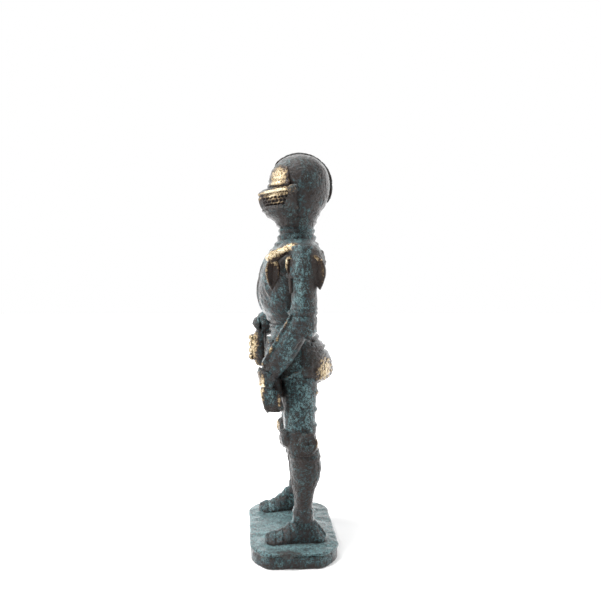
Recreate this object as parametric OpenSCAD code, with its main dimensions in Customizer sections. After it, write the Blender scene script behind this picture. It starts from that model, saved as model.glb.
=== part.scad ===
// Cast brass statuette of a standing knight in plate armour on a rounded plinth.
// Millimetres, +Z up. Origin at the bottom centre of the plinth, the figure faces -Y.

/* [Plinth] */
// Plinth length, across the figure
plinth_length = 43.5; // [40:0.5:56]
// Plinth depth, front to back
plinth_depth = 25.5; // [24:0.5:36]
// Plinth height with its top slab
plinth_height = 4.7; // [3.6:0.1:7]
// Plinth corner radius
corner_radius = 8.6; // [4:0.1:11]
// Top slab thickness
slab_thickness = 1.5; // [1:0.1:2.2]
// How far the top slab stands out past the block
slab_overhang = 0.35; // [0.1:0.05:0.8]

/* [Figure] */
// Figure height, soles to crest
figure_height = 115.3; // [92:0.1:140]
// Distance between the foot centres
stance_width = 26; // [20:0.1:28]
// Distance between the upper arm centres
shoulder_width = 29.4; // [27:0.1:35.5]
// How far one foot is set ahead of the other
foot_stagger = 1.8; // [0:0.1:3]

/* [Torso] */
// Half width of the waist
waist_half_width = 8.2; // [6.8:0.1:9.8]
// Half width of the chest
chest_half_width = 12.4; // [11:0.1:14]
// How far the breastplate bulges ahead of the body axis
chest_reach = 10.4; // [9:0.1:12.5]
// How far the rump guard stands out behind the skirt
rump_flare = 3.2; // [2.4:0.1:4.4]

/* [Helmet] */
// Skull radius, front to back
skull_radius = 9.4; // [7.9:0.1:11.3]
// Height of the median comb above the skull
comb_height = 0.55; // [0.3:0.05:1]
// Thickness of the median comb
comb_thickness = 1.3; // [0.8:0.1:2.2]
// How far the visor tip stands ahead of the skull centre
visor_reach = 12.5; // [11.2:0.1:15]
// Height of the open eye slit
sight_height = 0.8; // [0.5:0.1:1.2]
// Radius of the two visor pivot heads
pivot_radius = 1.25; // [1:0.05:1.6]

/* [Hidden] */
nominal_body = 91.8;
head_share = 23.5 / 9.4;
head_height = head_share * skull_radius;
u = (figure_height - head_height) / nominal_body;
h = skull_radius / 9.4;
foot_x = stance_width / 2;
hip_x = 6.2;
arm_x = shoulder_width / 2;
neck_level = plinth_height + figure_height - head_height;
skull_y = 2.6 * u;
slice_height = 0.12;
big = 200;
facets = 24;
steps = 8;
lame_step = 0.35 * u;

// levels above the plinth, in nominal body millimetres
ankle_level = 8.6;
knee_low = 24.4;
knee_high = 30.6;
hip_level = 45.4;
belt_low = 60.2;
belt_high = 62.4;
elbow_high = 66.4;
shoulder_level = 83;

bronze = [0.30, 0.34, 0.34];
dark_bronze = [0.33, 0.27, 0.21];
burnished = [0.72, 0.58, 0.36];

// smooth interpolation through a list of section keys
function key(k, i) = k[max(0, min(len(k) - 1, i))];
function blend(a, b, c, d, f) =
  0.5 * (2 * b + (c - a) * f + (2 * a - 5 * b + 4 * c - d) * f * f + (3 * b - a - 3 * c + d) * f * f * f);
function along(k, t) =
  let (i = floor(t), f = t - i)
  blend(key(k, i - 1), key(k, i), key(k, i + 1), key(k, i + 2), f);

// leg axis between the hip (share 0) and the foot (share 1)
function leg_x(share) = hip_x * u + (foot_x - hip_x * u) * share;

// one section: centre x, y, z, half width, half depth, lean about X
function sec(x, y, z, rx, ry, lean = 0) = [x, y * u, z * u, rx * u, ry * u, lean];

module slice(s) {
  translate([s[0], s[1], s[2]])
    rotate([s[5], 0, 0])
      scale([s[3], s[4], 1])
        cylinder(h = slice_height, r = 1, center = true, $fn = facets);
}

module loft(keys, count = steps) {
  last = len(keys) - 1;
  for (i = [0 : count - 1]) {
    hull() {
      slice(along(keys, last * i / count));
      slice(along(keys, last * (i + 1) / count));
    }
  }
}

function grown(s, step) = [s[0], s[1], s[2], s[3] + step, s[4] + step, s[5]];

// overlapping bands, each one proud at its lower edge
module lames(keys, count) {
  last = len(keys) - 1;
  for (i = [0 : count - 1]) {
    hull() {
      slice(grown(along(keys, last * i / count), lame_step));
      slice(along(keys, last * (i + 1) / count));
    }
  }
}

// everything of the figure stands on the plinth
module standing() {
  translate([0, 0, plinth_height])
    children();
}

module mirrored(side) {
  mirror([side < 0 ? 1 : 0, 0, 0])
    children();
}

// a slab of space between two levels above the plinth
module level_band(low, high) {
  translate([-big / 2, -big / 2, low * u])
    cube([big, big, (high - low) * u]);
}

module ahead_of(y) {
  translate([-big / 2, y - big, -big / 2])
    cube([big, big, big * 2]);
}

module behind(y) {
  translate([-big / 2, y, -big / 2])
    cube([big, big, big * 2]);
}

module rounded_block(length, depth, height, radius) {
  translate([-length / 2 + radius, -depth / 2, 0])
    cube([length - 2 * radius, depth, height]);
  translate([-length / 2, -depth / 2 + radius, 0])
    cube([length, depth - 2 * radius, height]);
  for (x = [-1, 1], y = [-1, 1]) {
    translate([x * (length / 2 - radius), y * (depth / 2 - radius), 0])
      cylinder(h = height, r = radius, $fn = 48);
  }
}

// ---- legs ----
leg_keys = [
  sec(leg_x(0.97), 2.3, 6, 3.1, 3.4),
  sec(leg_x(0.96), 2.4, 9.4, 3.0, 3.1),
  sec(leg_x(0.95), 2.8, 14, 3.5, 3.7),
  sec(leg_x(0.92), 3.2, 20, 4.3, 4.7),
  sec(leg_x(0.87), 2.4, 25.5, 4.2, 4.5),
  sec(leg_x(0.76), 1.6, 31, 4.2, 4.4),
  sec(leg_x(0.58), 1.6, 36, 4.6, 4.6),
  sec(leg_x(0.26), 2.0, 42, 5.4, 5.0),
  sec(leg_x(0), 2.2, 47, 6.0, 5.4)
];

module leg(side, low, high) {
  intersection() {
    mirrored(side)
      loft(leg_keys, 12);
    level_band(low, high);
    mirrored(side)
      translate([0, -big / 2, 0])
        cube([big, big, big]);
  }
}

module foot(side) {
  shift = side * foot_stagger / 2;
  intersection() {
    mirrored(side)
      translate([foot_x * 1.03, shift, 0])
        for (i = [0 : 7]) {
          hull() {
            foot_ball(i);
            foot_ball(i + 1);
          }
        }
    level_band(0, ankle_level);
  }
}

// heel to toe: y, half width, half height
foot_keys = [
  [8.4, 1.2, 1.9], [7.0, 2.4, 3.4], [4.6, 2.9, 5.6], [2.2, 3.1, 8.8], [-0.6, 3.3, 8.2],
  [-3.0, 3.7, 5.6], [-5.6, 4.1, 3.8], [-7.6, 3.6, 2.8], [-8.6, 2.4, 1.9]
];

module foot_ball(i) {
  f = foot_keys[i];
  translate([0, f[0] * u, 0])
    scale([f[1] * u, 0.7 * u, f[2] * u])
      sphere(r = 1, $fn = 14);
}

module sabaton(side) {
  standing()
    union() {
      foot(side);
      leg(side, 5, ankle_level);
    }
}

module greave(side) {
  standing()
    leg(side, ankle_level, knee_low);
}

poleyn_keys = [
  sec(leg_x(0.88), 2.2, 24.4, 4.3, 4.7),
  sec(leg_x(0.87), 1.7, 25.8, 4.8, 5.3),
  sec(leg_x(0.86), 1.3, 27.4, 5.1, 5.6),
  sec(leg_x(0.82), 1.3, 29, 4.9, 5.2),
  sec(leg_x(0.76), 1.6, 30.6, 4.5, 4.6)
];

module poleyn(side) {
  standing()
    intersection() {
      mirrored(side)
        loft(poleyn_keys);
      level_band(knee_low, knee_high);
      mirrored(side)
        translate([0, -big / 2, 0])
          cube([big, big, big]);
    }
}

module cuisse(side) {
  standing()
    leg(side, knee_high, hip_level);
}

// ---- skirt ----
skirt_keys = [
  sec(0, 1.4, 45.4, 12.4, 7.6),
  sec(0, 1.2, 49, 12.2, 7.8),
  sec(0, 0.8, 53, 11.4, 7.6),
  sec(0, 0.4, 57, 9.9, 7.0),
  sec(0, 0.2, 60.2, 8.4, 6.4)
];

module skirt_form() {
  lames(skirt_keys, 5);
}

module fauld() {
  standing()
    union() {
      intersection() {
        skirt_form();
        level_band(hip_level, belt_low);
      }
      intersection() {
        waist_core();
        level_band(belt_low, belt_high);
      }
    }
}

module waist_core() {
  loft([
    [0, 0.2 * u, (belt_low - 1) * u, waist_half_width * 0.86, 5.2 * u, 0],
    [0, 0.2 * u, (belt_high + 1) * u, waist_half_width * 0.86, 5.2 * u, 0]
  ], 4);
}

module belt() {
  standing()
    difference() {
      intersection() {
        loft([
          [0, 0.2 * u, belt_low * u, waist_half_width * 1.02, 6.5 * u, 0],
          [0, 0.2 * u, (belt_low + belt_high) / 2 * u, waist_half_width * 1.07, 6.9 * u, 0],
          [0, 0.2 * u, belt_high * u, waist_half_width * 1.02, 6.5 * u, 0]
        ], 4);
        level_band(belt_low, belt_high);
      }
      waist_core();
    }
}

skirt_back = 9.0;
rump_back = skirt_back + rump_flare / u;
culet_keys = [
  sec(0, rump_back - 10.4, 42.6, 10.6, 7.0),
  sec(0, rump_back - 9.6, 45.4, 11.8, 9.2),
  sec(0, rump_back - 9.4, 49.4, 12.4, 9.4),
  sec(0, rump_back - 9.6, 53.4, 11.4, 8.6),
  sec(0, 1.4, 57.2, 10.1, 7.4),
  sec(0, 0.8, 60.2, 8.9, 6.3)
];

module culet_form() {
  intersection() {
    lames(culet_keys, 6);
    behind(2.2 * u);
    level_band(0, belt_low);
  }
}

module culet() {
  standing()
    difference() {
      culet_form();
      skirt_form();
      leg_space(1);
      leg_space(-1);
    }
}

module leg_space(side) {
  mirrored(side)
    loft(leg_keys, 12);
}

tasset_keys = [
  sec(leg_x(0), -6.0, 57.4, 3.6, 1.4),
  sec(leg_x(0.11), -6.2, 54, 4.4, 1.7),
  sec(leg_x(0.21), -5.7, 48, 4.6, 1.9),
  sec(leg_x(0.26), -4.3, 43, 3.8, 1.9),
  sec(leg_x(0.32), -3.4, 40.6, 1.9, 1.4)
];

module tasset_form(side) {
  mirrored(side)
    loft(tasset_keys);
}

module tasset(side) {
  standing()
    difference() {
      tasset_form(side);
      skirt_form();
      leg_space(side);
    }
}

// ---- torso ----
chest_front = chest_reach / u;
chest_half = chest_half_width / u;
low_chest_half = (waist_half_width / u + chest_half) * 0.47;
seam = 1.4;
torso_keys = [
  [0, 0.2 * u, belt_high * u, waist_half_width, 6.2 * u, 0],
  sec(0, (7.1 - chest_front * 0.86) / 2, 66.4, low_chest_half, (7.1 + chest_front * 0.86) / 2),
  sec(0, (7.8 - chest_front) / 2, 71.6, chest_half * 0.9, (7.8 + chest_front) / 2),
  sec(0, (8.4 - chest_front * 0.95) / 2, 77, chest_half, (8.4 + chest_front * 0.95) / 2),
  sec(0, (8.4 - chest_front * 0.8) / 2, 82, chest_half * 0.98, (8.4 + chest_front * 0.8) / 2),
  sec(0, 1.3, 85.6, chest_half * 0.84, 6.6),
  sec(0, 1.5, 88, chest_half * 0.5, 5.4)
];

module torso_form() {
  loft(torso_keys, 12);
}

module torso_half(front) {
  standing()
    intersection() {
      torso_form();
      level_band(belt_high, 88);
      if (front) {
        ahead_of(seam * u);
      } else {
        behind(seam * u);
      }
    }
}

collar_keys = [
  sec(0, 1.5, 84.0, 9.4, 7.9),
  sec(0, 1.5, 86.2, 7.6, 6.9),
  sec(0, 1.5, 89.4, 5.5, 5.6),
  sec(0, 1.5, 93.4, 4.9, 5.1)
];

module collar_form() {
  lames(collar_keys, 5);
}

module gorget() {
  standing()
    difference() {
      intersection() {
        collar_form();
        level_band(80, nominal_body);
      }
      torso_form();
    }
}

// ---- arms ----
arm_inner = chest_half_width * 0.87;

// upper arm section from inside the chest out to its outer face
function shoulder_sec(outer, y, z, ry) =
  [(arm_inner + outer) / 2, y * u, z * u, (outer - arm_inner) / 2, ry * u, 0];

module upper_arm(side) {
  mirrored(side)
    loft([
      shoulder_sec(arm_x * 0.9 + 3.4 * u, 2.3, 85, 4.4),
      shoulder_sec(arm_x * 0.97 + 4.2 * u, 2.1, 80, 4.9),
      shoulder_sec(arm_x + 3.9 * u, 2.0, 74, 4.5),
      sec(arm_x * 1.01, 2.3, 68, 3.7, 4.1),
      sec(arm_x * 1.01, 2.6, 63.5, 3.6, 3.9)
    ]);
}

module rerebrace(side) {
  standing()
    difference() {
      intersection() {
        upper_arm(side);
        level_band(elbow_high, shoulder_level);
      }
      torso_form();
    }
}

module elbow_ball(side) {
  mirrored(side)
    loft([
      sec(arm_x * 1.01, 3.1, 57.6, 0.8, 0.9),
      sec(arm_x * 1.01, 2.8, 59, 3.2, 3.4),
      sec(arm_x * 1.01, 2.4, 62, 4.2, 4.3),
      sec(arm_x * 1.01, 2.3, 66.4, 3.8, 4.2)
    ]);
}

module couter(side) {
  standing()
    difference() {
      intersection() {
        elbow_ball(side);
        level_band(50, elbow_high);
      }
      torso_form();
      skirt_form();
      culet_form();
    }
}

// elbow to wrist, the right forearm is raised
left_forearm = [
  sec(arm_x * 1.01, 1.6, 63, 3.4, 3.6, -28),
  sec(arm_x * 1.0, -1.0, 58.4, 3.4, 3.7, -30),
  sec(arm_x * 0.97, -3.8, 53.6, 3.3, 3.5, -32),
  sec(arm_x * 0.93, -6.0, 49.6, 3.2, 3.4, -30),
  sec(arm_x * 0.92, -6.8, 47.4, 2.6, 2.9, -20)
];
right_forearm = [
  sec(arm_x * 1.01, 1.2, 61.4, 3.3, 3.4, -74),
  sec(arm_x * 0.99, -2.0, 61.2, 3.2, 3.2, -80),
  sec(arm_x * 0.95, -5.2, 61.1, 3.1, 3.0, -84),
  sec(arm_x * 0.9, -8.2, 61.1, 3.4, 3.4, -84),
  sec(arm_x * 0.88, -9.6, 61.0, 3.0, 2.9, -84)
];

module vambrace(side) {
  standing()
    difference() {
      mirrored(side)
        loft(side > 0 ? left_forearm : right_forearm);
      elbow_ball(side);
      torso_form();
      skirt_form();
      culet_form();
      tasset_form(side);
    }
}

module hand(side) {
  mirrored(side)
    if (side > 0) {
      loft([
        sec(arm_x * 0.93, -7.0, 48.4, 3.4, 3.9, -16),
        sec(arm_x * 0.91, -7.0, 46, 2.7, 3.3, -8),
        sec(arm_x * 0.88, -6.9, 43, 2.9, 3.8),
        sec(arm_x * 0.84, -6.7, 39.6, 2.8, 3.6),
        sec(arm_x * 0.8, -6.3, 36.9, 1.7, 2.4)
      ]);
    } else {
      loft([
        sec(arm_x * 0.88, -9.2, 60.2, 2.6, 1.4),
        sec(arm_x * 0.86, -9.8, 57.8, 3.2, 2.3),
        sec(arm_x * 0.82, -10.1, 54.4, 3.2, 2.9),
        sec(arm_x * 0.78, -9.8, 50.6, 2.9, 2.7),
        sec(arm_x * 0.76, -9.2, 47.6, 1.8, 1.8)
      ]);
    }
}

module gauntlet(side) {
  standing()
    difference() {
      hand(side);
      mirrored(side)
        loft(side > 0 ? left_forearm : right_forearm);
      skirt_form();
      leg_space(side);
      tasset_form(side);
    }
}

// ---- shoulders ----
module shoulder_cap(side) {
  mirrored(side)
    loft([
      sec(arm_x * 0.99, 1.2, 76, 4.7, 5.7),
      sec(arm_x * 0.97, 1.0, 79, 5.2, 7.0),
      sec(arm_x * 0.9, 0.9, 82.4, 5.3, 7.3),
      sec(arm_x * 0.78, 1.1, 85.4, 4.5, 6.2),
      sec(arm_x * 0.62, 1.4, 87.2, 2.6, 3.8)
    ]);
}

module pauldron(side) {
  standing()
    difference() {
      shoulder_cap(side);
      torso_form();
      intersection() {
        upper_arm(side);
        level_band(50, shoulder_level);
      }
      collar_form();
    }
}

// a hanging leaf plate: centre x, y of its top, facing front or back
module leaf(x, y, top, length, half, face) {
  drop = length / 5;
  loft([
    sec(x, y, top - length, 0.3, 0.5),
    sec(x, y - face * 0.5, top - 3.6 * drop, half * 0.62, 1.3),
    sec(x, y - face * 0.7, top - 2.1 * drop, half, 1.6),
    sec(x, y - face * 0.5, top - 0.8 * drop, half * 0.8, 1.4),
    sec(x, y, top, half * 0.3, 0.7)
  ]);
}

module besagew(side, face) {
  standing()
    difference() {
      mirrored(side)
        if (face > 0) {
          leaf(chest_half_width * 0.9, -0.635 * chest_front, 82.6, 11, 3.2, 1);
        } else {
          leaf(chest_half_width * 0.95, 7.6, 82.2, 9, 2.8, -1);
        }
      torso_form();
      shoulder_cap(side);
      upper_arm(side);
    }
}

// ---- helmet ----
module on_neck() {
  translate([0, skull_y, neck_level])
    children();
}

// head section: y, z above the neck joint, half width, half depth
function hsec(y, z, rx, ry) = [0, y * h, z * h, rx * h, ry * h, 0];

module skull_form() {
  loft([
    hsec(-1.0, 0, 5.0, 5.2),
    hsec(-0.6, 2.2, 5.5, 5.7),
    hsec(-0.3, 4.6, 6.3, 6.5),
    hsec(-0.1, 7.0, 7.5, 8.0),
    hsec(0, 10.0, 8.2, 9.1),
    hsec(0, 13.8, 8.5, 9.4),
    hsec(0, 17.4, 7.8, 8.7),
    hsec(0, 20.4, 6.0, 6.8),
    hsec(0, 22.3, 3.4, 4.0),
    [0, 0, 23.5 * h - comb_height, 0.8 * h, 0.8 * h, 0]
  ], 18);
}

module helmet_skull() {
  on_neck()
    difference() {
      intersection() {
        skull_form();
        translate([-big / 2, -big / 2, 0])
          cube([big, big, big]);
      }
      comb_form();
      pivot_shank(1);
      pivot_shank(-1);
    }
}

comb_depth = 2.2;
comb_start = -42;
comb_end = 118;
comb_parts = 12;

// one rib of the comb, a degrees back from the crown, lower toward both ends
module comb_rib(a) {
  rise = comb_height * (0.35 + 0.65 * cos((a - 38) * 0.9));
  centre_z = 23.5 * h - comb_height - 9.6 * h;
  translate([0, 0, centre_z])
    rotate([-a, 0, 0]) {
      translate([-comb_thickness / 2, 0, (9.6 - comb_depth) * h])
        cube([comb_thickness, slice_height, comb_depth * h]);
      translate([-comb_thickness / 4, 0, (9.6 - comb_depth) * h])
        cube([comb_thickness / 2, slice_height, comb_depth * h + rise]);
    }
}

module comb_form() {
  turn = (comb_end - comb_start) / comb_parts;
  for (i = [0 : comb_parts - 1]) {
    hull() {
      comb_rib(comb_start + turn * i);
      comb_rib(comb_start + turn * (i + 1));
    }
  }
}

module helmet_comb() {
  on_neck()
    comb_form();
}

module brow_form() {
  intersection() {
    loft([
      hsec(0, 12.6, 9.0, 9.9),
      hsec(0, 13.8, 9.1, 10.0),
      hsec(0, 17.2, 8.4, 9.3),
      hsec(0, 19.6, 7.1, 7.9)
    ]);
    ahead_of(-3.2 * h);
  }
}

module brow_plate() {
  on_neck()
    difference() {
      brow_form();
      skull_form();
      comb_form();
    }
}

// visor section with a pointed front
module beak_slice(z, reach) {
  translate([0, 0, z * h]) {
    scale([9.3 * h, 9.2 * h, 1])
      cylinder(h = slice_height, r = 1, center = true, $fn = facets);
    translate([0, -reach, 0])
      cylinder(h = slice_height, r = 0.6 * h, center = true, $fn = 8);
  }
}

visor_low = 6;

// level above the neck joint, share of the reach
beak_keys = [
  [visor_low, 0.93], [6.9, 0.96], [8.0, 0.985], [9.2, 1.0], [10.2, 1.0],
  [10.8, 0.94], [11.4, 0.87], [12.0, 0.80], [12.6, 0.76]
];

module visor_form() {
  top = 12.6 - sight_height / h;
  intersection() {
    for (i = [0 : len(beak_keys) - 2]) {
      hull() {
        beak_slice(beak_keys[i][0], visor_reach * beak_keys[i][1]);
        beak_slice(beak_keys[i + 1][0], visor_reach * beak_keys[i + 1][1]);
      }
    }
    ahead_of(-1.6 * h);
    translate([-big / 2, -big / 2, visor_low * h])
      cube([big, big, (top - visor_low) * h]);
  }
}

module visor() {
  on_neck()
    difference() {
      visor_form();
      skull_form();
      pivot_shank(1);
      pivot_shank(-1);
    }
}

module bevor() {
  on_neck()
    difference() {
      intersection() {
        loft([
          hsec(-1.4, 0.4, 5.2, 5.4),
          hsec(-1.9, 2.0, 6.2, 7.2),
          hsec(-2.2, 3.8, 7.2, 9.0),
          hsec(-2.2, 6.0, 8.3, 10.2)
        ]);
        ahead_of(-1.2 * h);
        translate([-big / 2, -big / 2, 0])
          cube([big, big, visor_low * h]);
      }
      skull_form();
    }
}

module pivot_shank(side) {
  translate([side * 6.2 * h, -3.1 * h, 10.6 * h])
    rotate([0, side * 90, 0])
      cylinder(h = 4 * h, r = 0.6 * h, $fn = 24);
}

module visor_pivot(side) {
  on_neck()
    union() {
      pivot_shank(side);
      difference() {
        translate([side * 7.0 * h, -3.1 * h, 10.6 * h])
          rotate([0, side * 90, 0])
            cylinder(h = 2.6 * h, r = pivot_radius, $fn = 24);
        visor_form();
        skull_form();
      }
    }
}

// ---- plinth ----
module plinth_block() {
  rounded_block(
    plinth_length - 2 * slab_overhang,
    plinth_depth - 2 * slab_overhang,
    plinth_height - slab_thickness,
    corner_radius - slab_overhang
  );
}

module plinth_slab() {
  translate([0, 0, plinth_height - slab_thickness])
    rounded_block(plinth_length, plinth_depth, slab_thickness, corner_radius);
}

color(bronze) plinth_block();
color(bronze) plinth_slab();
color(bronze) sabaton(1);  // left_sabaton
color(bronze) sabaton(-1);  // right_sabaton
color(bronze) greave(1);  // left_greave
color(bronze) greave(-1);  // right_greave
color(burnished) poleyn(1);  // left_poleyn
color(burnished) poleyn(-1);  // right_poleyn
color(bronze) cuisse(1);  // left_cuisse
color(bronze) cuisse(-1);  // right_cuisse
color(bronze) fauld();
color(burnished) culet();
color(bronze) tasset(1);  // left_tasset
color(bronze) tasset(-1);  // right_tasset
color(dark_bronze) belt();
color(bronze) torso_half(true);  // breastplate
color(bronze) torso_half(false);  // backplate
color(bronze) gorget();
color(bronze) rerebrace(1);  // left_rerebrace
color(bronze) rerebrace(-1);  // right_rerebrace
color(bronze) couter(1);  // left_couter
color(bronze) couter(-1);  // right_couter
color(bronze) vambrace(1);  // left_vambrace
color(bronze) vambrace(-1);  // right_vambrace
color(burnished) gauntlet(1);  // left_gauntlet
color(burnished) gauntlet(-1);  // right_gauntlet
color(burnished) pauldron(1);  // left_pauldron
color(burnished) pauldron(-1);  // right_pauldron
color(dark_bronze) besagew(1, 1);  // left_front_besagew
color(dark_bronze) besagew(-1, 1);  // right_front_besagew
color(dark_bronze) besagew(1, -1);  // left_rear_besagew
color(dark_bronze) besagew(-1, -1);  // right_rear_besagew
color(bronze) helmet_skull();
color(dark_bronze) helmet_comb();
color(burnished) brow_plate();
color(burnished) visor();
color(dark_bronze) bevor();
color(burnished) visor_pivot(1);  // left_visor_pivot
color(burnished) visor_pivot(-1);  // right_visor_pivot
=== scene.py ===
# Patinated brass knight statuette on a small plinth.
import bpy
import math
import numpy as np
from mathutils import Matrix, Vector
from mathutils.bvhtree import BVHTree


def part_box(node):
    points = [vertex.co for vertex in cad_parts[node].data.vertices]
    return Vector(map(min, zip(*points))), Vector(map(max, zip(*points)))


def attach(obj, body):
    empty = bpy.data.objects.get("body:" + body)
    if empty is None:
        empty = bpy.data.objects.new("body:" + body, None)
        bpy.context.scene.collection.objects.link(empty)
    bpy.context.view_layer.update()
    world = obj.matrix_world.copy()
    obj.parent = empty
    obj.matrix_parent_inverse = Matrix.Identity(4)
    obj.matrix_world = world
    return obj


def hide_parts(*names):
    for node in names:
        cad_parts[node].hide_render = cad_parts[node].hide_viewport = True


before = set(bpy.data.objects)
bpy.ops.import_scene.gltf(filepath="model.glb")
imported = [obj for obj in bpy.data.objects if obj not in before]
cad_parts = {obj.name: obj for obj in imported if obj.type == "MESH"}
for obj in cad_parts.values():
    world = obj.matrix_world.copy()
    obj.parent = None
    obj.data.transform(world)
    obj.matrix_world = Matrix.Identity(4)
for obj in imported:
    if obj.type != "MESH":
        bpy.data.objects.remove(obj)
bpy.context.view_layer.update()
mm = 0.001
print("frame loaded,", len(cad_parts), "nodes")


def boxOf(node):
    low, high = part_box(node)
    return np.array(low) / mm, np.array(high) / mm


def middle(node):
    low, high = boxOf(node)
    return (low + high) / 2


# places taken from the frame, in millimetres
groundZ = float(boxOf("plinth_slab")[1][2])
neckZ = float(boxOf("helmet_skull")[0][2])
skullY = float(middle("helmet_skull")[1])
footX = float(middle("left_sabaton")[0])
armX = float(middle("left_couter")[0])
crownZ = float(boxOf("helmet_comb")[1][2])

cameraSetup = {
    "distance": 186.57,
    "aimY": 2.727,
    "aimZ": 74.04,
    "turnDegrees": 3.78,
    "lens": 35.94,
    "sensor": 36.0,
}


def placeCamera(setup):
    turn = math.radians(setup["turnDegrees"])
    look = Vector((-math.cos(turn), math.sin(turn), 0))
    aim = Vector((0, setup["aimY"], setup["aimZ"]))
    data = bpy.data.cameras.new("camera")
    data.lens = setup["lens"]
    data.sensor_width = setup["sensor"]
    data.clip_start = 0.005
    data.clip_end = 20
    camera = bpy.data.objects.new("camera", data)
    camera.location = (aim - look * setup["distance"]) * mm
    camera.rotation_mode = "QUATERNION"
    camera.rotation_quaternion = look.to_track_quat("-Z", "Y")
    bpy.context.scene.collection.objects.link(camera)
    bpy.context.scene.camera = camera


placeCamera(cameraSetup)


thinnest = 0.02
offAxis = (0.31, 0.2, 0.93)  # parallel to no bar


def newShape():
    return {"points": [], "faces": []}


def addPart(shape, points, faces):
    start = len(shape["points"])
    shape["points"].extend([tuple(map(float, p)) for p in points])
    shape["faces"].extend([tuple(start + i for i in face) for face in faces])


def spline(keys, count):
    keys = np.array(keys, float)
    last = len(keys) - 1
    t = np.linspace(0, last, count)
    i = np.minimum(t.astype(int), last - 1)
    f = (t - i)[:, None]
    a, b = keys[np.maximum(i - 1, 0)], keys[i]
    c, d = keys[i + 1], keys[np.minimum(i + 2, last)]
    return 0.5 * (2 * b + (c - a) * f + (2 * a - 5 * b + 4 * c - d) * f**2 + (3 * b - a - 3 * c + d) * f**3)


def ringFaces(rings, around):
    faces = []
    for r in range(rings - 1):
        for k in range(around):
            n = (k + 1) % around
            faces.append((r * around + k, r * around + n, (r + 1) * around + n, (r + 1) * around + k))
    bottom = rings * around
    for k in range(around):
        n = (k + 1) % around
        faces.append((bottom, n, k))
        faces.append((bottom + 1, (rings - 1) * around + k, (rings - 1) * around + n))
    return faces


# sections: x, y, z, half width, half depth, and a lean about X where there is one
def addLoft(shape, keys, around=44, count=36):
    rows = spline([list(k) + [0] * (6 - len(k)) for k in keys], count)
    angle = np.linspace(0, 2 * math.pi, around, endpoint=False)
    points = []
    for x, y, z, rx, ry, lean in rows:
        a = np.cos(angle) * max(rx, thinnest)
        b = np.sin(angle) * max(ry, thinnest)
        tilt = math.radians(lean)
        points += [(x + u, y + v * math.cos(tilt), z + v * math.sin(tilt)) for u, v in zip(a, b)]
    points += [tuple(rows[0][:3]), tuple(rows[-1][:3])]
    addPart(shape, points, ringFaces(count, around))


def addBall(shape, centre, radii, turn=0, around=32, rings=18):
    spin = math.radians(turn)
    points = []
    for r in range(1, rings):
        polar = math.pi * r / rings
        for k in range(around):
            a = 2 * math.pi * k / around
            x = math.sin(polar) * math.cos(a) * radii[0]
            y = math.sin(polar) * math.sin(a) * radii[1]
            x, y = x * math.cos(spin) - y * math.sin(spin), x * math.sin(spin) + y * math.cos(spin)
            points.append((centre[0] + x, centre[1] + y, centre[2] - math.cos(polar) * radii[2]))
    points += [(centre[0], centre[1], centre[2] + end * radii[2]) for end in (-1, 1)]
    addPart(shape, points, ringFaces(rings - 1, around))


# a round bar along a path, with its radius at each point
def addBar(shape, path, radii, around=12, count=28):
    rows = spline([list(p) + [r] for p, r in zip(path, radii)], count)
    centres, sizes = rows[:, :3], np.maximum(rows[:, 3], thinnest)
    along = np.gradient(centres, axis=0)
    along /= np.linalg.norm(along, axis=1)[:, None]
    side = np.cross(along[0], offAxis)
    points = []
    for c, t, r in zip(centres, along, sizes):
        side = side - t * np.dot(side, t)
        side /= np.linalg.norm(side)
        up = np.cross(t, side)
        for k in range(around):
            a = 2 * math.pi * k / around
            points.append(c + side * r * math.cos(a) + up * r * math.sin(a))
    points += [centres[0], centres[-1]]
    addPart(shape, points, ringFaces(count, around))


def mirrorShape(shape):
    return {
        "points": [(-x, y, z) for x, y, z in shape["points"]],
        "faces": [tuple(reversed(face)) for face in shape["faces"]],
    }


noiseTables = {}


def softNoise(points, size, seed):
    if seed not in noiseTables:
        noiseTables[seed] = np.random.default_rng(seed).random((32, 32, 32)) * 2 - 1
    table = noiseTables[seed]
    q = points / size + 100.37
    i = np.floor(q).astype(int)
    f = q - i
    f = f * f * (3 - 2 * f)
    total = np.zeros(len(points))
    for dx in (0, 1):
        for dy in (0, 1):
            for dz in (0, 1):
                weight = (
                    (f[:, 0] if dx else 1 - f[:, 0])
                    * (f[:, 1] if dy else 1 - f[:, 1])
                    * (f[:, 2] if dz else 1 - f[:, 2])
                )
                total += weight * table[(i[:, 0] + dx) % 32, (i[:, 1] + dy) % 32, (i[:, 2] + dz) % 32]
    return total


def bell(value, width):
    return np.exp(-((value / width) ** 2))


# how near each point lies to a line of points
def nearPath(points, path):
    best = np.full(len(points), 1e9)
    path = np.array(path, float)
    for a, b in zip(path[:-1], path[1:]):
        ab = b - a
        t = np.clip(((points - a) @ ab) / max(ab @ ab, 1e-9), 0, 1)
        best = np.minimum(best, np.linalg.norm(points - a - t[:, None] * ab, axis=1))
    return best


# overlapping bands: rises slowly, then drops at the band's lower edge
def lameStep(height, spacing):
    phase = (height / spacing) % 1.0
    return (1 - phase) - 1.4 * bell(phase - 1.0, 0.1) * 0.4


# evens out values over each point's neighbours
def spread(values, edges, count, times):
    degree = np.bincount(edges.ravel(), minlength=count).astype(float)
    degree[degree == 0] = 1
    out = values.copy()
    for _ in range(times):
        total = np.zeros_like(out)
        for axis in range(out.shape[1]):
            total[:, axis] = np.bincount(edges[:, 0], out[edges[:, 1], axis], count)
            total[:, axis] += np.bincount(edges[:, 1], out[edges[:, 0], axis], count)
        out = out * 0.5 + total / degree[:, None] * 0.5
    return out


def readMesh(mesh):
    count = len(mesh.vertices)
    points = np.empty(count * 3)
    mesh.vertices.foreach_get("co", points)
    edges = np.empty(len(mesh.edges) * 2, int)
    mesh.edges.foreach_get("vertices", edges)
    return points.reshape(-1, 3) / mm, edges.reshape(-1, 2), count


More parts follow.
